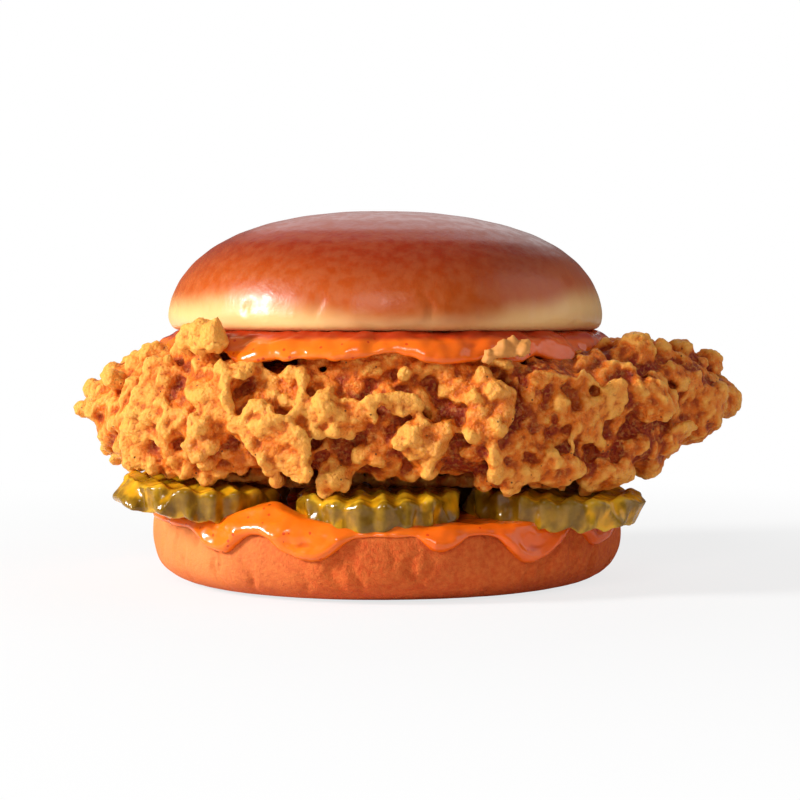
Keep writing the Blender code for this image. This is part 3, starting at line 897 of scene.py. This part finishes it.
def creases(points, axis, count, seed, low, high, depth):
    """How deep a set of short vertical creases cuts in at each point."""
    rng = random.Random(seed)
    angle, _ = polar(points, axis)
    cut = np.zeros(len(points))
    for _ in range(count):
        middle = rng.uniform(-180.0, 180.0)
        start = rng.uniform(low, high)
        reach = rng.uniform(0.15, 0.6) * (high - low)
        width = rng.uniform(0.6, 1.3)
        strength = depth * rng.uniform(0.3, 1.0)
        lean = rng.uniform(-250.0, 250.0)
        bend = lean * (points[:, 2] - start) + 0.8 * np.sin(points[:, 2] * 900.0 + middle)
        away = (angle - middle - bend + 180.0) % 360.0 - 180.0
        along = np.clip(1.0 - np.abs(points[:, 2] - start) / reach, 0.0, 1.0)
        cut = np.maximum(cut, strength * np.exp(-((away / width) ** 2)) * along**0.5)
    return cut


class BURGER_OT_crown(Operator):
    """Make the glazed upper half of the bun"""

    bl_idname = "burger.crown"
    bl_label = "Crown"

    def execute(self, context):
        crown = copy_of_node("bun_crown", "crown")
        remesh(crown, sizes().bun_voxel)
        soften(crown, 14)
        points, normals = points_of(crown), normals_of(crown)
        rise = (points[:, 2] - CROWN_LOW.z) / (CROWN_HIGH.z - CROWN_LOW.z)
        side = np.clip(1.0 - np.abs(normals[:, 2]), 0.0, 1.0)
        sway = noise_at(points, 0.036, 3.0) * 0.0007
        cut = creases(points, CROWN_AXIS, 26, 5, CROWN_LOW.z - 0.001, CROWN_LOW.z + 0.006, 0.00045)
        out = sway * np.clip(rise * 6.0, 0.0, 1.0) - cut * side
        move_points(crown, points + normals * out[:, None])
        finish_piece(crown, BODY, "bun_crown", crown_material(), "bun_crown")
        return {"FINISHED"}


class BURGER_OT_heel(Operator):
    """Make the lower half of the bun"""

    bl_idname = "burger.heel"
    bl_label = "Heel"

    def execute(self, context):
        heel = copy_of_node("bun_heel", "heel")
        remesh(heel, sizes().bun_voxel * HEEL_VOXEL_SHARE)
        soften(heel, 12)
        points, normals = points_of(heel), normals_of(heel)
        side = np.clip(1.0 - np.abs(normals[:, 2]), 0.0, 1.0)
        sway = noise_at(points, 0.020, 9.0) * 0.0008 + noise_at(points, 0.006, 2.0) * 0.0002
        cut = creases(points, HEEL_AXIS, 90, 8, 0.001, HEEL_HIGH.z - 0.001, 0.0010)
        out = (sway - cut) * np.clip(side * 2.5, 0.0, 1.0)
        points = points + normals * out[:, None]
        points[:, 2] = np.maximum(points[:, 2], 0.0)
        move_points(heel, points)
        finish_piece(heel, BODY, "bun_heel", heel_material(), "bun_heel")
        return {"FINISHED"}


# ---------------------------------------------------------------- fillet


def flake_points(sphere, knob, length, width, thickness, curl, rng):
    """A bent flake from a unit sphere's points: ragged in outline, flat-sided, with knobs, curled along X.

    Returns a list of point arrays: the flake's, from the sphere, then each knob's, from the knob's.
    """
    turn = np.arctan2(sphere[:, 1], sphere[:, 0])
    ragged = 1.0
    for waves in (2, 3, 5, 8):
        ragged = ragged + rng.uniform(0.03, 0.13) * np.sin(waves * turn + rng.uniform(0.0, 6.3))
    x = sphere[:, 0] * ragged * length / 2
    y = sphere[:, 1] * ragged * width / 2
    z = np.sign(sphere[:, 2]) * np.abs(sphere[:, 2]) ** 0.8 * thickness / 2
    y = y * (1.0 + rng.uniform(-0.25, 0.25) * x / length)
    x, y, z = [x], [y], [z]
    for _ in range(max(3, int((length + width) / (2.6 * MM)))):
        turn, share = rng.uniform(0.0, 6.28), rng.uniform(0.35, 0.98)
        radius = thickness * rng.uniform(0.32, 0.60)
        x.append(knob[:, 0] * radius + math.cos(turn) * share * length / 2)
        y.append(knob[:, 1] * radius + math.sin(turn) * share * width / 2)
        z.append(knob[:, 2] * radius + rng.uniform(-0.1, 0.35) * thickness)
    sizes_of_parts = [len(part) for part in x]
    x, y, z = np.concatenate(x), np.concatenate(y), np.concatenate(z)
    for first in (True, False):
        along = x if first else y
        bend = (curl if first else curl * rng.uniform(-0.6, 0.9)) * 2.0 / (length if first else width)
        if abs(bend) < 1e-3:
            continue
        radius = 1.0 / bend
        along, z = (radius - z) * np.sin(along * bend), radius - (radius - z) * np.cos(along * bend)
        if first:
            x = along
        else:
            y = along
    return np.split(np.stack([x, y, z], axis=1), np.cumsum(sizes_of_parts)[:-1])


def outward_frame(out, roll, lean):
    """Axes of a piece that lies on a surface facing out: X along it, turned by roll, Z out of it."""
    side = Vector((0.0, 0.0, 1.0)).cross(out)
    side = side.normalized() if side.length > 0.1 else Vector((1.0, 0.0, 0.0))
    axes = Matrix((side, out.cross(side), out)).transposed()
    spin = Matrix.Rotation(math.radians(roll), 3, "Z")
    tip = Matrix.Rotation(math.radians(lean), 3, "X")
    return np.array(axes @ spin @ tip)


class Clay:
    """Collects closed forms to be melted into one crust."""

    def __init__(self, surface):
        self.surface = surface
        self.points = []
        self.faces = []
        self.count = 0
        self.shapes = {}

    def sphere(self, level):
        if level not in self.shapes:
            bpy.ops.mesh.primitive_ico_sphere_add(subdivisions=level, radius=1.0)
            obj = bpy.context.active_object
            faces = np.array([tuple(face.vertices) for face in obj.data.polygons])
            self.shapes[level] = (points_of(obj), faces)
            bpy.data.objects.remove(obj, do_unlink=True)
        return self.shapes[level]

    def add(self, points, faces):
        self.points.append(points)
        self.faces.append(faces + self.count)
        self.count += len(points)

    def front(self, x, z):
        """Where a line from the front meets the fillet, and the way out there."""
        hit, out, _, _ = self.surface.ray_cast(Vector((x, -0.2, z)), Vector((0.0, 1.0, 0.0)))
        if hit is None:
            hit, out, _, _ = self.surface.find_nearest(Vector((x, -0.03, z)))
        return hit, out

    def flake(self, place, out, shape, roll, lean, curl, rng):
        sphere, faces = self.sphere(3)
        knob, knob_faces = self.sphere(1)
        turned = outward_frame(out, roll, lean).T
        for index, points in enumerate(flake_points(sphere, knob, *shape, curl, rng)):
            self.add(points @ turned + np.array(place), knob_faces if index else faces)

    def knob(self, place, radius, rng, level=2):
        sphere, faces = self.sphere(level)
        shape = radius * (1.0 + 0.18 * noise_at(sphere, 0.7, rng.uniform(0.0, 50.0)))
        squash = np.array([rng.uniform(0.85, 1.15) for _ in range(3)])
        self.add(sphere * shape[:, None] * squash + np.array(place), faces)

    def rope(self, places, radius, rng):
        """Beads along a smooth line through the places, close enough to melt together."""
        for start, end in zip(places, places[1:]):
            steps = max(2, int((end - start).length / (radius * 0.45)))
            for step in range(steps):
                place = start.lerp(end, step / steps)
                self.knob(place, radius * rng.uniform(0.88, 1.12), rng, level=1)

    def joined_with(self, obj):
        points = points_of(obj)
        obj.data.calc_loop_triangles()
        faces = np.empty(len(obj.data.loop_triangles) * 3, dtype=np.int32)
        obj.data.loop_triangles.foreach_get("vertices", faces)
        self.add(points, faces.reshape(-1, 3))
        mesh = bpy.data.meshes.new(obj.name)
        mesh.from_pydata(np.concatenate(self.points), [], np.concatenate(self.faces).tolist())
        obj.data = mesh
        return obj


def surface_of(obj):
    points = [Vector(point) for point in points_of(obj)]
    return BVHTree.FromPolygons(points, [tuple(face.vertices) for face in obj.data.polygons])


def named_crust(clay, rng):
    """The crust pieces that are placed one by one on the front."""
    for x, z, out, length, width, thickness, roll, lean, curl in FLAKES:
        hit, way = clay.front(x * MM, z * MM)
        way = (way + Vector((0.0, -0.6, 0.0))).normalized()
        shape = (length * MM, width * MM, thickness * MM)
        clay.flake(hit + way * (out + NAMED_LIFT) * MM, way, shape, roll, lean, curl, rng)
    for x, y, z, out, radius in KNOBS:
        if y is None:
            hit, way = clay.front(x * MM, z * MM)
        else:
            hit, way, _, _ = clay.surface.find_nearest(Vector((x, y, z)) * MM)
            if z > HELD_OVER:
                hit = Vector((x, y, z)) * MM
        clay.knob(hit + way * (out + (NAMED_LIFT if y is None else PLACED_LIFT)) * MM, radius * MM, rng)
    for out, radius, pairs in ROPES:
        places = []
        for x, z in zip(pairs[::2], pairs[1::2]):
            hit, way = clay.front(x * MM, z * MM)
            places.append(hit + (way + Vector((0.0, -0.5, 0.0))).normalized() * (out + NAMED_LIFT) * MM)
        clay.rope(places, radius * MM, rng)


def spread_places(core, spacing, rng):
    """Faces of the core's sides and bare top and belly, in random order, none nearer than the spacing."""
    faces = [face for face in core.data.polygons if abs(face.normal.z) < 0.75 or is_bare(face.center)]
    rng.shuffle(faces)
    taken = {}
    for face in faces:
        cell = tuple(int(value // spacing) for value in face.center)
        near = [
            taken.get((cell[0] + i, cell[1] + j, cell[2] + k), ())
            for i in (-1, 0, 1)
            for j in (-1, 0, 1)
            for k in (-1, 0, 1)
        ]
        if all((place - face.center).length > spacing for places in near for place in places):
            taken.setdefault(cell, []).append(face.center.copy())
            yield face.center.copy(), face.normal.copy()


def scattered_crust(clay, core, rng):
    """Flakes and clusters of knobs all over the core's sides, lower where named pieces lie over them."""
    for place, out in spread_places(core, sizes().flake_spacing, rng):
        named_side = place.y < -0.028 and abs(place.x) < 0.060
        lift = (rng.uniform(-0.4, 1.6) if named_side else rng.uniform(-0.2, 1.6)) * MM
        if rng.random() < 0.70:
            length = rng.uniform(5.5, 13.0) * MM
            shape = (length, length * rng.uniform(0.45, 0.85), rng.uniform(2.4, 4.0) * MM)
            lean = rng.uniform(-30.0, 30.0) if named_side else rng.uniform(-40.0, 40.0)
            curl = rng.uniform(-0.3, 0.8)
            clay.flake(place + out * lift, out, shape, rng.uniform(0.0, 180.0), lean, curl, rng)
        else:
            for _ in range(rng.randint(2, 5)):
                jump = Vector((rng.uniform(-1, 1), rng.uniform(-1, 1), rng.uniform(-1, 1))) * 2.6 * MM
                clay.knob(place + jump + out * lift, rng.uniform(1.3, 2.6) * MM, rng)


def is_bare(place):
    """Whether a place on the fillet's top or belly lies clear of both halves of the bun."""
    return math.hypot(place.x - CROWN_AXIS.x, place.y - CROWN_AXIS.y) > BARE_RADIUS


def soft_least(values, limit, softness):
    """The lesser of each value and its limit, rounded off over the softness."""
    over = (values - limit) / softness
    return values - softness * np.logaddexp(0.0, over)


def keep_clear(obj, softness):
    """Presses the crust down under the sauce and its lobes, and up from the slices and the heel."""
    points = points_of(obj)
    _, radius = polar(points, CROWN_AXIS)
    open_top = FILLET_TOP + OPEN_RISE
    covered = np.clip((BED_RADIUS - radius) / 0.002, 0.0, 1.0)
    front = np.clip((LOBES_HALF - np.abs(points[:, 0] + 0.001)) / 0.004, 0.0, 1.0) * (points[:, 1] < 0.0)
    shoulder = FILLET_TOP - LOBE_ROOM - np.clip(radius - LOBE_RADIUS, 0.0, 1.0) * LOBE_SLOPE
    top = open_top + (FILLET_TOP - BED_ROOM - open_top) * covered
    top = np.minimum(top, open_top + (shoulder - open_top) * front)
    points[:, 2] = soft_least(points[:, 2], top, softness)
    _, radius = polar(points, HEEL_AXIS)
    inside = np.clip((HEEL_RADIUS - radius) / 0.003, 0.0, 1.0)
    floor = OUTER_FLOOR + inside * FLOOR_STEP
    points[:, 2] = -soft_least(-points[:, 2], -floor, softness)
    move_points(obj, points)


def fit_end(obj, side, outline):
    """Stretches one end of the fillet along X until it reaches the outline: height and reach, in mm."""
    start = STRETCH_START
    points = points_of(obj)
    heights, reaches = np.array(outline).T * MM
    reach_now = points[:, 0] * side
    rows = np.arange(points[:, 2].min(), points[:, 2].max(), 0.002)
    extreme = [reach_now[np.abs(points[:, 2] - row) < 0.0015].max() for row in rows]
    extreme = np.maximum(np.interp(points[:, 2], rows, extreme), start + 0.006)
    wanted = np.interp(points[:, 2], heights, reaches) - (HEAD_COVER if side < 0.0 else TAIL_COVER)
    beyond = reach_now > start
    stretched = start + (reach_now - start) * (wanted - start) / (extreme - start)
    points[beyond, 0] = side * stretched[beyond]
    move_points(obj, points)


def keep_outer(obj):
    """Removes what isn't joined to the outer skin, such as closed pockets inside."""
    points = points_of(obj)
    mesh = obj.data
    mesh.vertices.foreach_set("select", np.zeros(len(points), dtype=bool))
    mesh.edges.foreach_set("select", np.zeros(len(mesh.edges), dtype=bool))
    mesh.polygons.foreach_set("select", np.zeros(len(mesh.polygons), dtype=bool))
    mesh.vertices[int(points[:, 0].argmax())].select = True
    only(obj)
    bpy.ops.object.mode_set(mode="EDIT")
    bpy.ops.mesh.select_mode(type="VERT")
    bpy.ops.mesh.select_linked()
    bpy.ops.mesh.select_all(action="INVERT")
    bpy.ops.mesh.delete(type="VERT")
    bpy.ops.object.mode_set(mode="OBJECT")


def standing_height(obj, surface):
    """How far each vertex stands over a surface, in metres."""
    heights = []
    for point in points_of(obj):
        place = Vector(point)
        hit, out, _, _ = surface.find_nearest(place)
        heights.append((place - hit).dot(out))
    return np.array(heights)


def quarter(obj, name, x_side, y_side, x_cut):
    """A copy of one quarter of a mesh, closed where it is cut."""
    part = copy_of(obj, name)
    bpy.ops.object.mode_set(mode="EDIT")
    for place, way in (((x_cut, 0.0, 0.0), (x_side, 0.0, 0.0)), ((0.0, MIDDLE_CUT, 0.0), (0.0, y_side, 0.0))):
        bpy.ops.mesh.select_all(action="SELECT")
        bpy.ops.mesh.bisect(plane_co=place, plane_no=way, use_fill=True, clear_inner=True)
        bpy.ops.mesh.mark_sharp()
    bpy.ops.object.mode_set(mode="OBJECT")
    return part


class BURGER_OT_fillet(Operator):
    """Make the fried fillet's craggy crust"""

    bl_idname = "burger.fillet"
    bl_label = "Fillet"

    def execute(self, context):
        rng = random.Random(RANDOM_SEED)
        size = sizes()
        core = copy_of_node("chicken", "fillet")
        remesh(core, CORE_VOXEL)
        soften(core, 6)
        move_points(core, points_of(core) - normals_of(core) * size.crust_depth)
        fit_end(core, -1.0, HEAD_OUTLINE)
        fit_end(core, 1.0, TAIL_OUTLINE)
        surface = surface_of(core)
        clay = Clay(surface)
        named_crust(clay, rng)
        scattered_crust(clay, core, rng)
        roughen(core, "VORONOI", 0.011, 0.0025, 0.25)
        crust = clay.joined_with(core)
        remesh(crust, MELT_VOXEL)
        keep_outer(crust)
        roughen(crust, "CLOUDS", 0.0042, 0.0013)
        roughen(crust, "VORONOI", size.crag_size, size.crag_depth, KNOB_LEVEL)
        keep_clear(crust, 0.0006)
        remesh(crust, size.crust_voxel)
        keep_outer(crust)
        roughen(crust, "VORONOI", size.grain_size, size.grain_depth, KNOB_LEVEL)
        roughen(crust, "CLOUDS", 0.0008, 0.0003)
        keep_clear(crust, 0.0002)
        store_relief(crust, "relief", standing=standing_height(crust, surface) / size.crust_full)
        material = crust_material()
        for name, x_side, y_side, x_cut in (
            ("fillet_front_left", -1.0, -1.0, FRONT_CUT),
            ("fillet_front_right", 1.0, -1.0, FRONT_CUT),
            ("fillet_back_left", -1.0, 1.0, BACK_CUT),
            ("fillet_back_right", 1.0, 1.0, BACK_CUT),
        ):
            part = quarter(crust, name, x_side, y_side, x_cut)
            finish_piece(part, BODY, "fried_crust", material, "chicken")
        bpy.data.objects.remove(crust, do_unlink=True)
        return {"FINISHED"}


class BURGER_OT_crumbs(Operator):
    """Make the loose bits of crust that stick to the upper sauce"""

    bl_idname = "burger.crumbs"
    bl_label = "Crumbs"

    def execute(self, context):
        rng = random.Random(RANDOM_SEED + 1)
        start = (0.0194, -0.0532, 0.0530)
        bpy.ops.mesh.primitive_ico_sphere_add(subdivisions=2, radius=0.0016, location=start)
        crumbs = bpy.context.active_object
        crumbs.name = "crumbs_on_sauce"
        bpy.ops.object.transform_apply(location=True, rotation=True, scale=True)
        clay = Clay(None)
        for x, y, z, radius in CRUMBS:
            for _ in range(CRUMB_KNOBS):
                jump = Vector([rng.uniform(-0.7, 0.7) for _ in range(3)]) * radius
                clay.knob((Vector((x, y, z)) + jump) * MM, radius * rng.uniform(0.45, 0.75) * MM, rng)
        crumbs = clay.joined_with(crumbs)
        remesh(crumbs, FINE_VOXEL)
        roughen(crumbs, "VORONOI", 0.0014, 0.0006, KNOB_LEVEL)
        roughen(crumbs, "CLOUDS", 0.0008, 0.0004)
        store_relief(crumbs, "relief")
        finish_piece(crumbs, BODY, "fried_crust", bpy.data.materials["fried_crust"])
        return {"FINISHED"}


# ---------------------------------------------------------------- pickle slices


class BURGER_OT_slices(Operator):
    """Make the crinkle-cut pickle slices"""

    bl_idname = "burger.slices"
    bl_label = "Pickle Slices"

    def execute(self, context):
        material = pickle_material()
        for number, (node, waves) in enumerate(SLICES):
            cut = copy_of_node(node, node + "_slice")
            remesh(cut, FINE_VOXEL)
            soften(cut, 5)
            points, normals = points_of(cut), normals_of(cut)
            middle = Vector(points.mean(axis=0))
            angle, radius = polar(points, middle)
            bins = ((angle + 180.0) / 6.0).astype(int) % 60
            rim = np.array([radius[bins == index].max() for index in range(60)])
            rim = (rim + np.roll(rim, 1) + np.roll(rim, -1)) / 3
            inset = rim[bins] - radius
            edge = np.clip(1.0 - inset / 0.0016, 0.0, 1.0)
            edge = np.maximum(edge, np.clip(1.0 - np.abs(normals[:, 2]) * 1.6, 0.0, 1.0) * (inset < 0.003))
            flesh = noise_at(points, 0.0035, number * 3.1)
            seeds = noise_at(points, 0.0018, number * 5.3 + 9.0)
            out = 0.00035 * flesh + 0.00025 * seeds * (1.0 - edge)
            turn = math.radians(waves)
            across = (points[:, 0] - middle.x) * math.cos(turn) + (points[:, 1] - middle.y) * math.sin(turn)
            flute = np.cos(2 * math.pi * across / WAVE_PITCH - math.pi / 2)
            rim_share = np.clip(1.0 - inset / 0.002, 0.0, 1.0)
            flat = np.stack([normals[:, 0], normals[:, 1], 0.15 * normals[:, 2]], axis=1)
            move = normals * out[:, None] + flat * (rim_share * (0.0002 + 0.00045 * flute))[:, None]
            move[:, 2] += (points[:, 2] - points[:, 2].max()) * 0.22
            _, from_axis = polar(points, HEEL_AXIS)
            move[:, 2] -= np.clip((from_axis - 0.046) / 0.009, 0.0, 1.0) ** 2 * 0.0012
            move_points(cut, points + move)
            store_relief(cut, "shape", broad=14, fine=3)
            shape = np.empty(len(points) * 4, dtype=np.float32)
            cut.data.attributes["shape"].data.foreach_get("color", shape)
            # The broad relief marks the crinkle crests, which get a painted highlight.
            ridges = shape.reshape(-1, 4)[:, 0]
            zone = np.stack([edge, ridges, 0.5 + 0.5 * seeds, np.ones(len(points))], axis=1)
            attribute = cut.data.attributes.new("zone", "FLOAT_COLOR", "POINT")
            attribute.data.foreach_set("color", zone.astype(np.float32).ravel())
            finish_piece(cut, BODY, "pickle", material, node)
        return {"FINISHED"}


# ---------------------------------------------------------------- sauces


def ring_of_sections(name, sections):
    """A closed ring from its sections: each one's angle, loop of (radius, height) pairs, and axis."""
    around, points_each = len(sections), len(sections[0][1])
    bpy.ops.mesh.primitive_torus_add(major_segments=around, minor_segments=points_each)
    ring = bpy.context.active_object
    ring.name = name
    points = []
    for angle, loop, axis in sections:
        turn = math.radians(angle)
        points += [(axis.x + r * math.cos(turn), axis.y + r * math.sin(turn), z) for r, z in loop]
    move_points(ring, points)
    only(ring)
    bpy.ops.object.mode_set(mode="EDIT")
    bpy.ops.mesh.select_all(action="SELECT")
    bpy.ops.mesh.normals_make_consistent(inside=False)
    bpy.ops.object.mode_set(mode="OBJECT")
    return ring


def longest(angle, tongues, edge):
    """How far the sauce reaches at each direction."""
    reach = np.full(len(angle), edge)
    for middle, length, width in tongues:
        reach = np.maximum(reach, edge + (length - edge) * swell(angle, middle, width))
    wave = 0.25 * np.sin(np.radians(angle) * 17.0) + 0.2 * np.sin(np.radians(angle) * 31.0 + 1.0)
    return reach + wave * np.clip(reach, 0.3, 1.0)


class BURGER_OT_lower_sauce(Operator):
    """Make the sauce on the heel, with its tongues and the tent between two slices"""

    bl_idname = "burger.lower_sauce"
    bl_label = "Lower Sauce"

    def execute(self, context):
        wall = surface_of(frame["nodes"]["bun_heel"])
        angles = np.arange(0.0, 360.0, RING_STEP)
        reaches = longest(angles, LOWER_TONGUES, LOWER_EDGE)
        way, tent_height, tent_width = TENT
        sections = []
        for angle, reach in zip(angles, reaches):
            turn = math.radians(angle)
            into = Vector((-math.cos(turn), -math.sin(turn), 0.0))
            start = Vector((HEEL_AXIS.x, HEEL_AXIS.y, 0.011)) - into * 0.08
            hit = wall.ray_cast(start, into)[0]
            rim = (0.08 - (hit - start).length) / MM
            away = abs((angle - way + 180.0) % 360.0 - 180.0)
            tent = tent_height * math.exp(-((away / tent_width) ** 1.25))
            sections.append((angle, lower_section(rim, reach, tent), HEEL_AXIS))
        ring = ring_of_sections("sauce_on_heel", sections)
        remesh(ring, FINE_VOXEL)
        soften(ring, 6)
        points, normals = points_of(ring), normals_of(ring)
        out = 0.0005 * noise_at(points, 0.006, 4.0) + 0.00018 * noise_at(points, 0.0022, 8.0)
        move_points(ring, points + normals * out[:, None])
        store_relief(ring, "relief", broad=20, fine=3)
        finish_piece(ring, BODY, "sauce", sauce_material("sauce_lower"), "sauce_lower")
        return {"FINISHED"}


def lower_section(rim, reach, tent):
    """The loop of one direction's coat, in metres: out along its top, down the wall, and back inside."""
    top = HEEL_HIGH.z / MM
    corner = 1.3
    path = []
    for step in range(9):
        path.append((26.0 + (rim - corner - 26.0) * step / 8, top, 0.0, 1.0))
    for step in range(1, 5):
        turn = math.radians(22.5 * step)
        out_r, out_z = math.sin(turn), math.cos(turn)
        path.append((rim - corner * (1 - out_r), top - corner * (1 - out_z), out_r, out_z))
    fall = max(reach - 0.4, 0.05)
    for step in range(1, 15):
        share = step / 14
        drop = corner + fall * share
        belly = 0.10 * (drop / 6.0) ** 2
        path.append((rim - belly, top - drop, 1.0, 0.0))
    outer, inner = [], []
    total = len(path)
    for index, (radius, height, out_r, out_z) in enumerate(path):
        to_tip = (total - 1 - index) / 14 * fall if index >= total - 15 else fall + 3.0
        bead = 1.15 * math.exp(-((to_tip - 1.2) / 1.8) ** 2) * min(1.0, reach / 3.0)
        thick = 0.40 + bead + 0.75 * min(1.0, reach / 4.0)
        if index < 9:
            thick = 1.0
            near = math.exp(-(((radius - (rim - 4.0)) / 5.5) ** 2))
            thick += tent * near
        elif tent > 0.3:
            thick += tent * 0.42 * max(0.0, 1.0 - (index - 8) / 9)
        if to_tip < thick:
            thick = math.sqrt(max(thick**2 - (thick - to_tip) ** 2, 0.01))
        outer.append(((radius + out_r * thick) * MM, (height + out_z * thick) * MM))
        inner.append(((radius - out_r * 0.5) * MM, (height - out_z * 0.5) * MM))
    return outer + inner[::-1]


class BURGER_OT_upper_sauce(Operator):
    """Make the sauce under the crown, with lobes that hang over the fillet"""

    bl_idname = "burger.upper_sauce"
    bl_label = "Upper Sauce"

    def execute(self, context):
        angles = np.arange(0.0, 360.0, RING_STEP)
        reaches = longest(angles, UPPER_LOBES, UPPER_EDGE)
        sections = []
        for angle, reach in zip(angles, reaches):
            sections.append((angle, upper_section(reach), CROWN_AXIS))
        ring = ring_of_sections("sauce_under_crown", sections)
        remesh(ring, UPPER_SAUCE_VOXEL)
        soften(ring, 8)
        points, normals = points_of(ring), normals_of(ring)
        out = 0.0008 * noise_at(points, 0.005, 14.0) + 0.0003 * noise_at(points, 0.0024, 18.0)
        points = points + normals * out[:, None]
        points[:, 2] = np.minimum(points[:, 2], CROWN_LOW.z + 0.0004)
        move_points(ring, points)
        store_relief(ring, "relief", broad=20, fine=3)
        look = sauce_material("sauce_upper", oil_top=CROWN_LOW.z - 0.0008)
        finish_piece(ring, BODY, "sauce", look, "sauce_upper")
        return {"FINISHED"}


def upper_section(reach):
    """The loop of one direction of the bed, in metres: out under the crown, down its lobe and back."""
    top = CROWN_LOW.z / MM + 0.2
    hang = 2.4 + reach
    loop = [(30.0, top), (38.0, top), (44.0, top), (47.0, top - 0.1), (48.6, top - 0.4)]
    steps = 14
    for step in range(1, steps):
        share = step / steps
        bulge = 1.5 * math.sin(math.pi * share) ** 0.7
        lean = 5.4 * (hang * share / 7.0)
        loop.append((49.0 + bulge + lean, top - 0.6 - (hang - 0.6) * share))
    tip_radius = 49.0 + 5.4 * hang / 7.0
    loop.append((tip_radius - 0.4, top - hang - 0.3))
    loop.append((tip_radius - 1.8, top - hang - 0.1))
    for share in (0.8, 0.6, 0.4, 0.2):
        loop.append((45.0 + (tip_radius - 47.6) * share, top - 3.4 - (hang - 3.4) * share))
    loop += [(42.0, top - 3.6), (36.0, top - 3.6), (30.0, top - 3.6)]
    return [(radius * MM, height * MM) for radius, height in loop]


# ---------------------------------------------------------------- stage


class BURGER_OT_stage(Operator):
    """Make the floor, the lamps, the surroundings and the camera"""

    bl_idname = "burger.stage"
    bl_label = "Stage"

    def execute(self, context):
        make_floor()
        make_world(context)
        for lamp in LAMPS:
            make_lamp(context, *lamp)
        camera = bpy.data.objects.new("camera", bpy.data.cameras.new("camera"))
        context.scene.collection.objects.link(camera)
        camera.data.lens = sizes().lens
        camera.location = CAMERA_PLACE
        camera.rotation_euler = (math.radians(90.0 - CAMERA_DOWN), 0.0, 0.0)
        camera.data.clip_start = 0.01
        context.scene.camera = camera
        context.scene.view_settings.view_transform = "Standard"
        return {"FINISHED"}


def make_floor():
    place = (0.0, 0.0, -FLOOR_GAP)
    bpy.ops.mesh.primitive_circle_add(vertices=96, radius=FLOOR_RADIUS, fill_type="NGON", location=place)
    floor = bpy.context.active_object
    floor.name = "floor"
    bpy.ops.object.transform_apply(location=True, rotation=True, scale=True)
    material, tree, shader = new_material("pale_floor")
    shader.inputs["Base Color"].default_value = FLOOR_GREY
    shader.inputs["Roughness"].default_value = 0.7
    shader.inputs["Specular IOR Level"].default_value = 0.1
    glow = add_node(tree, "ShaderNodeEmission", {"Color": WHITE, "Strength": 1.0})
    path = tree.nodes.new("ShaderNodeLightPath")
    away = add_node(tree, "ShaderNodeVectorMath", {0: object_coords(tree)}, operation="LENGTH")
    share = span(tree, away.outputs["Value"], 0.09, 0.28, 0.76, 1.0)
    seen = calc(tree, "MULTIPLY", path.outputs["Is Camera Ray"], share)
    blend = add_node(
        tree, "ShaderNodeMixShader", {0: seen, 1: shader.outputs["BSDF"], 2: glow.outputs["Emission"]}
    )
    tree.links.new(blend.outputs[0], tree.nodes["Material Output"].inputs["Surface"])
    floor.data.materials.append(material)


def make_world(context):
    world = bpy.data.worlds.new("surroundings")
    context.scene.world = world
    world.use_nodes = True
    tree = world.node_tree
    light = tree.nodes["Background"]
    light.inputs["Color"].default_value = WHITE
    light.inputs["Strength"].default_value = SURROUNDINGS
    seen = add_node(tree, "ShaderNodeBackground", {"Color": WHITE, "Strength": 1.0})
    path = tree.nodes.new("ShaderNodeLightPath")
    blend = add_node(
        tree,
        "ShaderNodeMixShader",
        {0: path.outputs["Is Camera Ray"], 1: light.outputs[0], 2: seen.outputs[0]},
    )
    tree.links.new(blend.outputs[0], tree.nodes["World Output"].inputs["Surface"])


def make_lamp(context, name, place, aim, size, power):
    lamp = bpy.data.objects.new(name, bpy.data.lights.new(name, "AREA"))
    lamp.data.shape = "DISK"
    lamp.data.size = size
    lamp.data.energy = power
    lamp.location = place
    way = Vector(aim) - Vector(place)
    lamp.rotation_euler = way.to_track_quat("-Z", "Y").to_euler()
    context.scene.collection.objects.link(lamp)


# ---------------------------------------------------------------- add-on


class BURGER_PT_pieces(Panel):
    """Lists the burger's pieces"""

    bl_idname = "BURGER_PT_pieces"
    bl_label = "Fried Chicken Burger"
    bl_space_type = "VIEW_3D"
    bl_region_type = "UI"
    bl_category = "Burger"

    def draw(self, context):
        layout = self.layout
        for group in (context.scene.burger_sizes, context.scene.burger_colours):
            for name in group.__annotations__:
                layout.prop(group, name)
        for operator in OPERATORS:
            layout.operator(operator.bl_idname)


OPERATORS = (
    BURGER_OT_heel,
    BURGER_OT_lower_sauce,
    BURGER_OT_slices,
    BURGER_OT_fillet,
    BURGER_OT_crumbs,
    BURGER_OT_upper_sauce,
    BURGER_OT_crown,
    BURGER_OT_stage,
)
CLASSES = (BurgerSizes, BurgerColours, *OPERATORS, BURGER_PT_pieces)


def register():
    for cls in CLASSES:
        bpy.utils.register_class(cls)
    bpy.types.Scene.burger_sizes = PointerProperty(type=BurgerSizes)
    bpy.types.Scene.burger_colours = PointerProperty(type=BurgerColours)


def unregister():
    del bpy.types.Scene.burger_colours
    del bpy.types.Scene.burger_sizes
    for cls in reversed(CLASSES):
        bpy.utils.unregister_class(cls)


def main():
    register()
    bpy.ops.burger.heel()
    bpy.ops.burger.lower_sauce()
    bpy.ops.burger.slices()
    bpy.ops.burger.fillet()
    bpy.ops.burger.crumbs()
    bpy.ops.burger.upper_sauce()
    bpy.ops.burger.crown()
    bpy.ops.burger.stage()


if __name__ == "__main__":
    main()
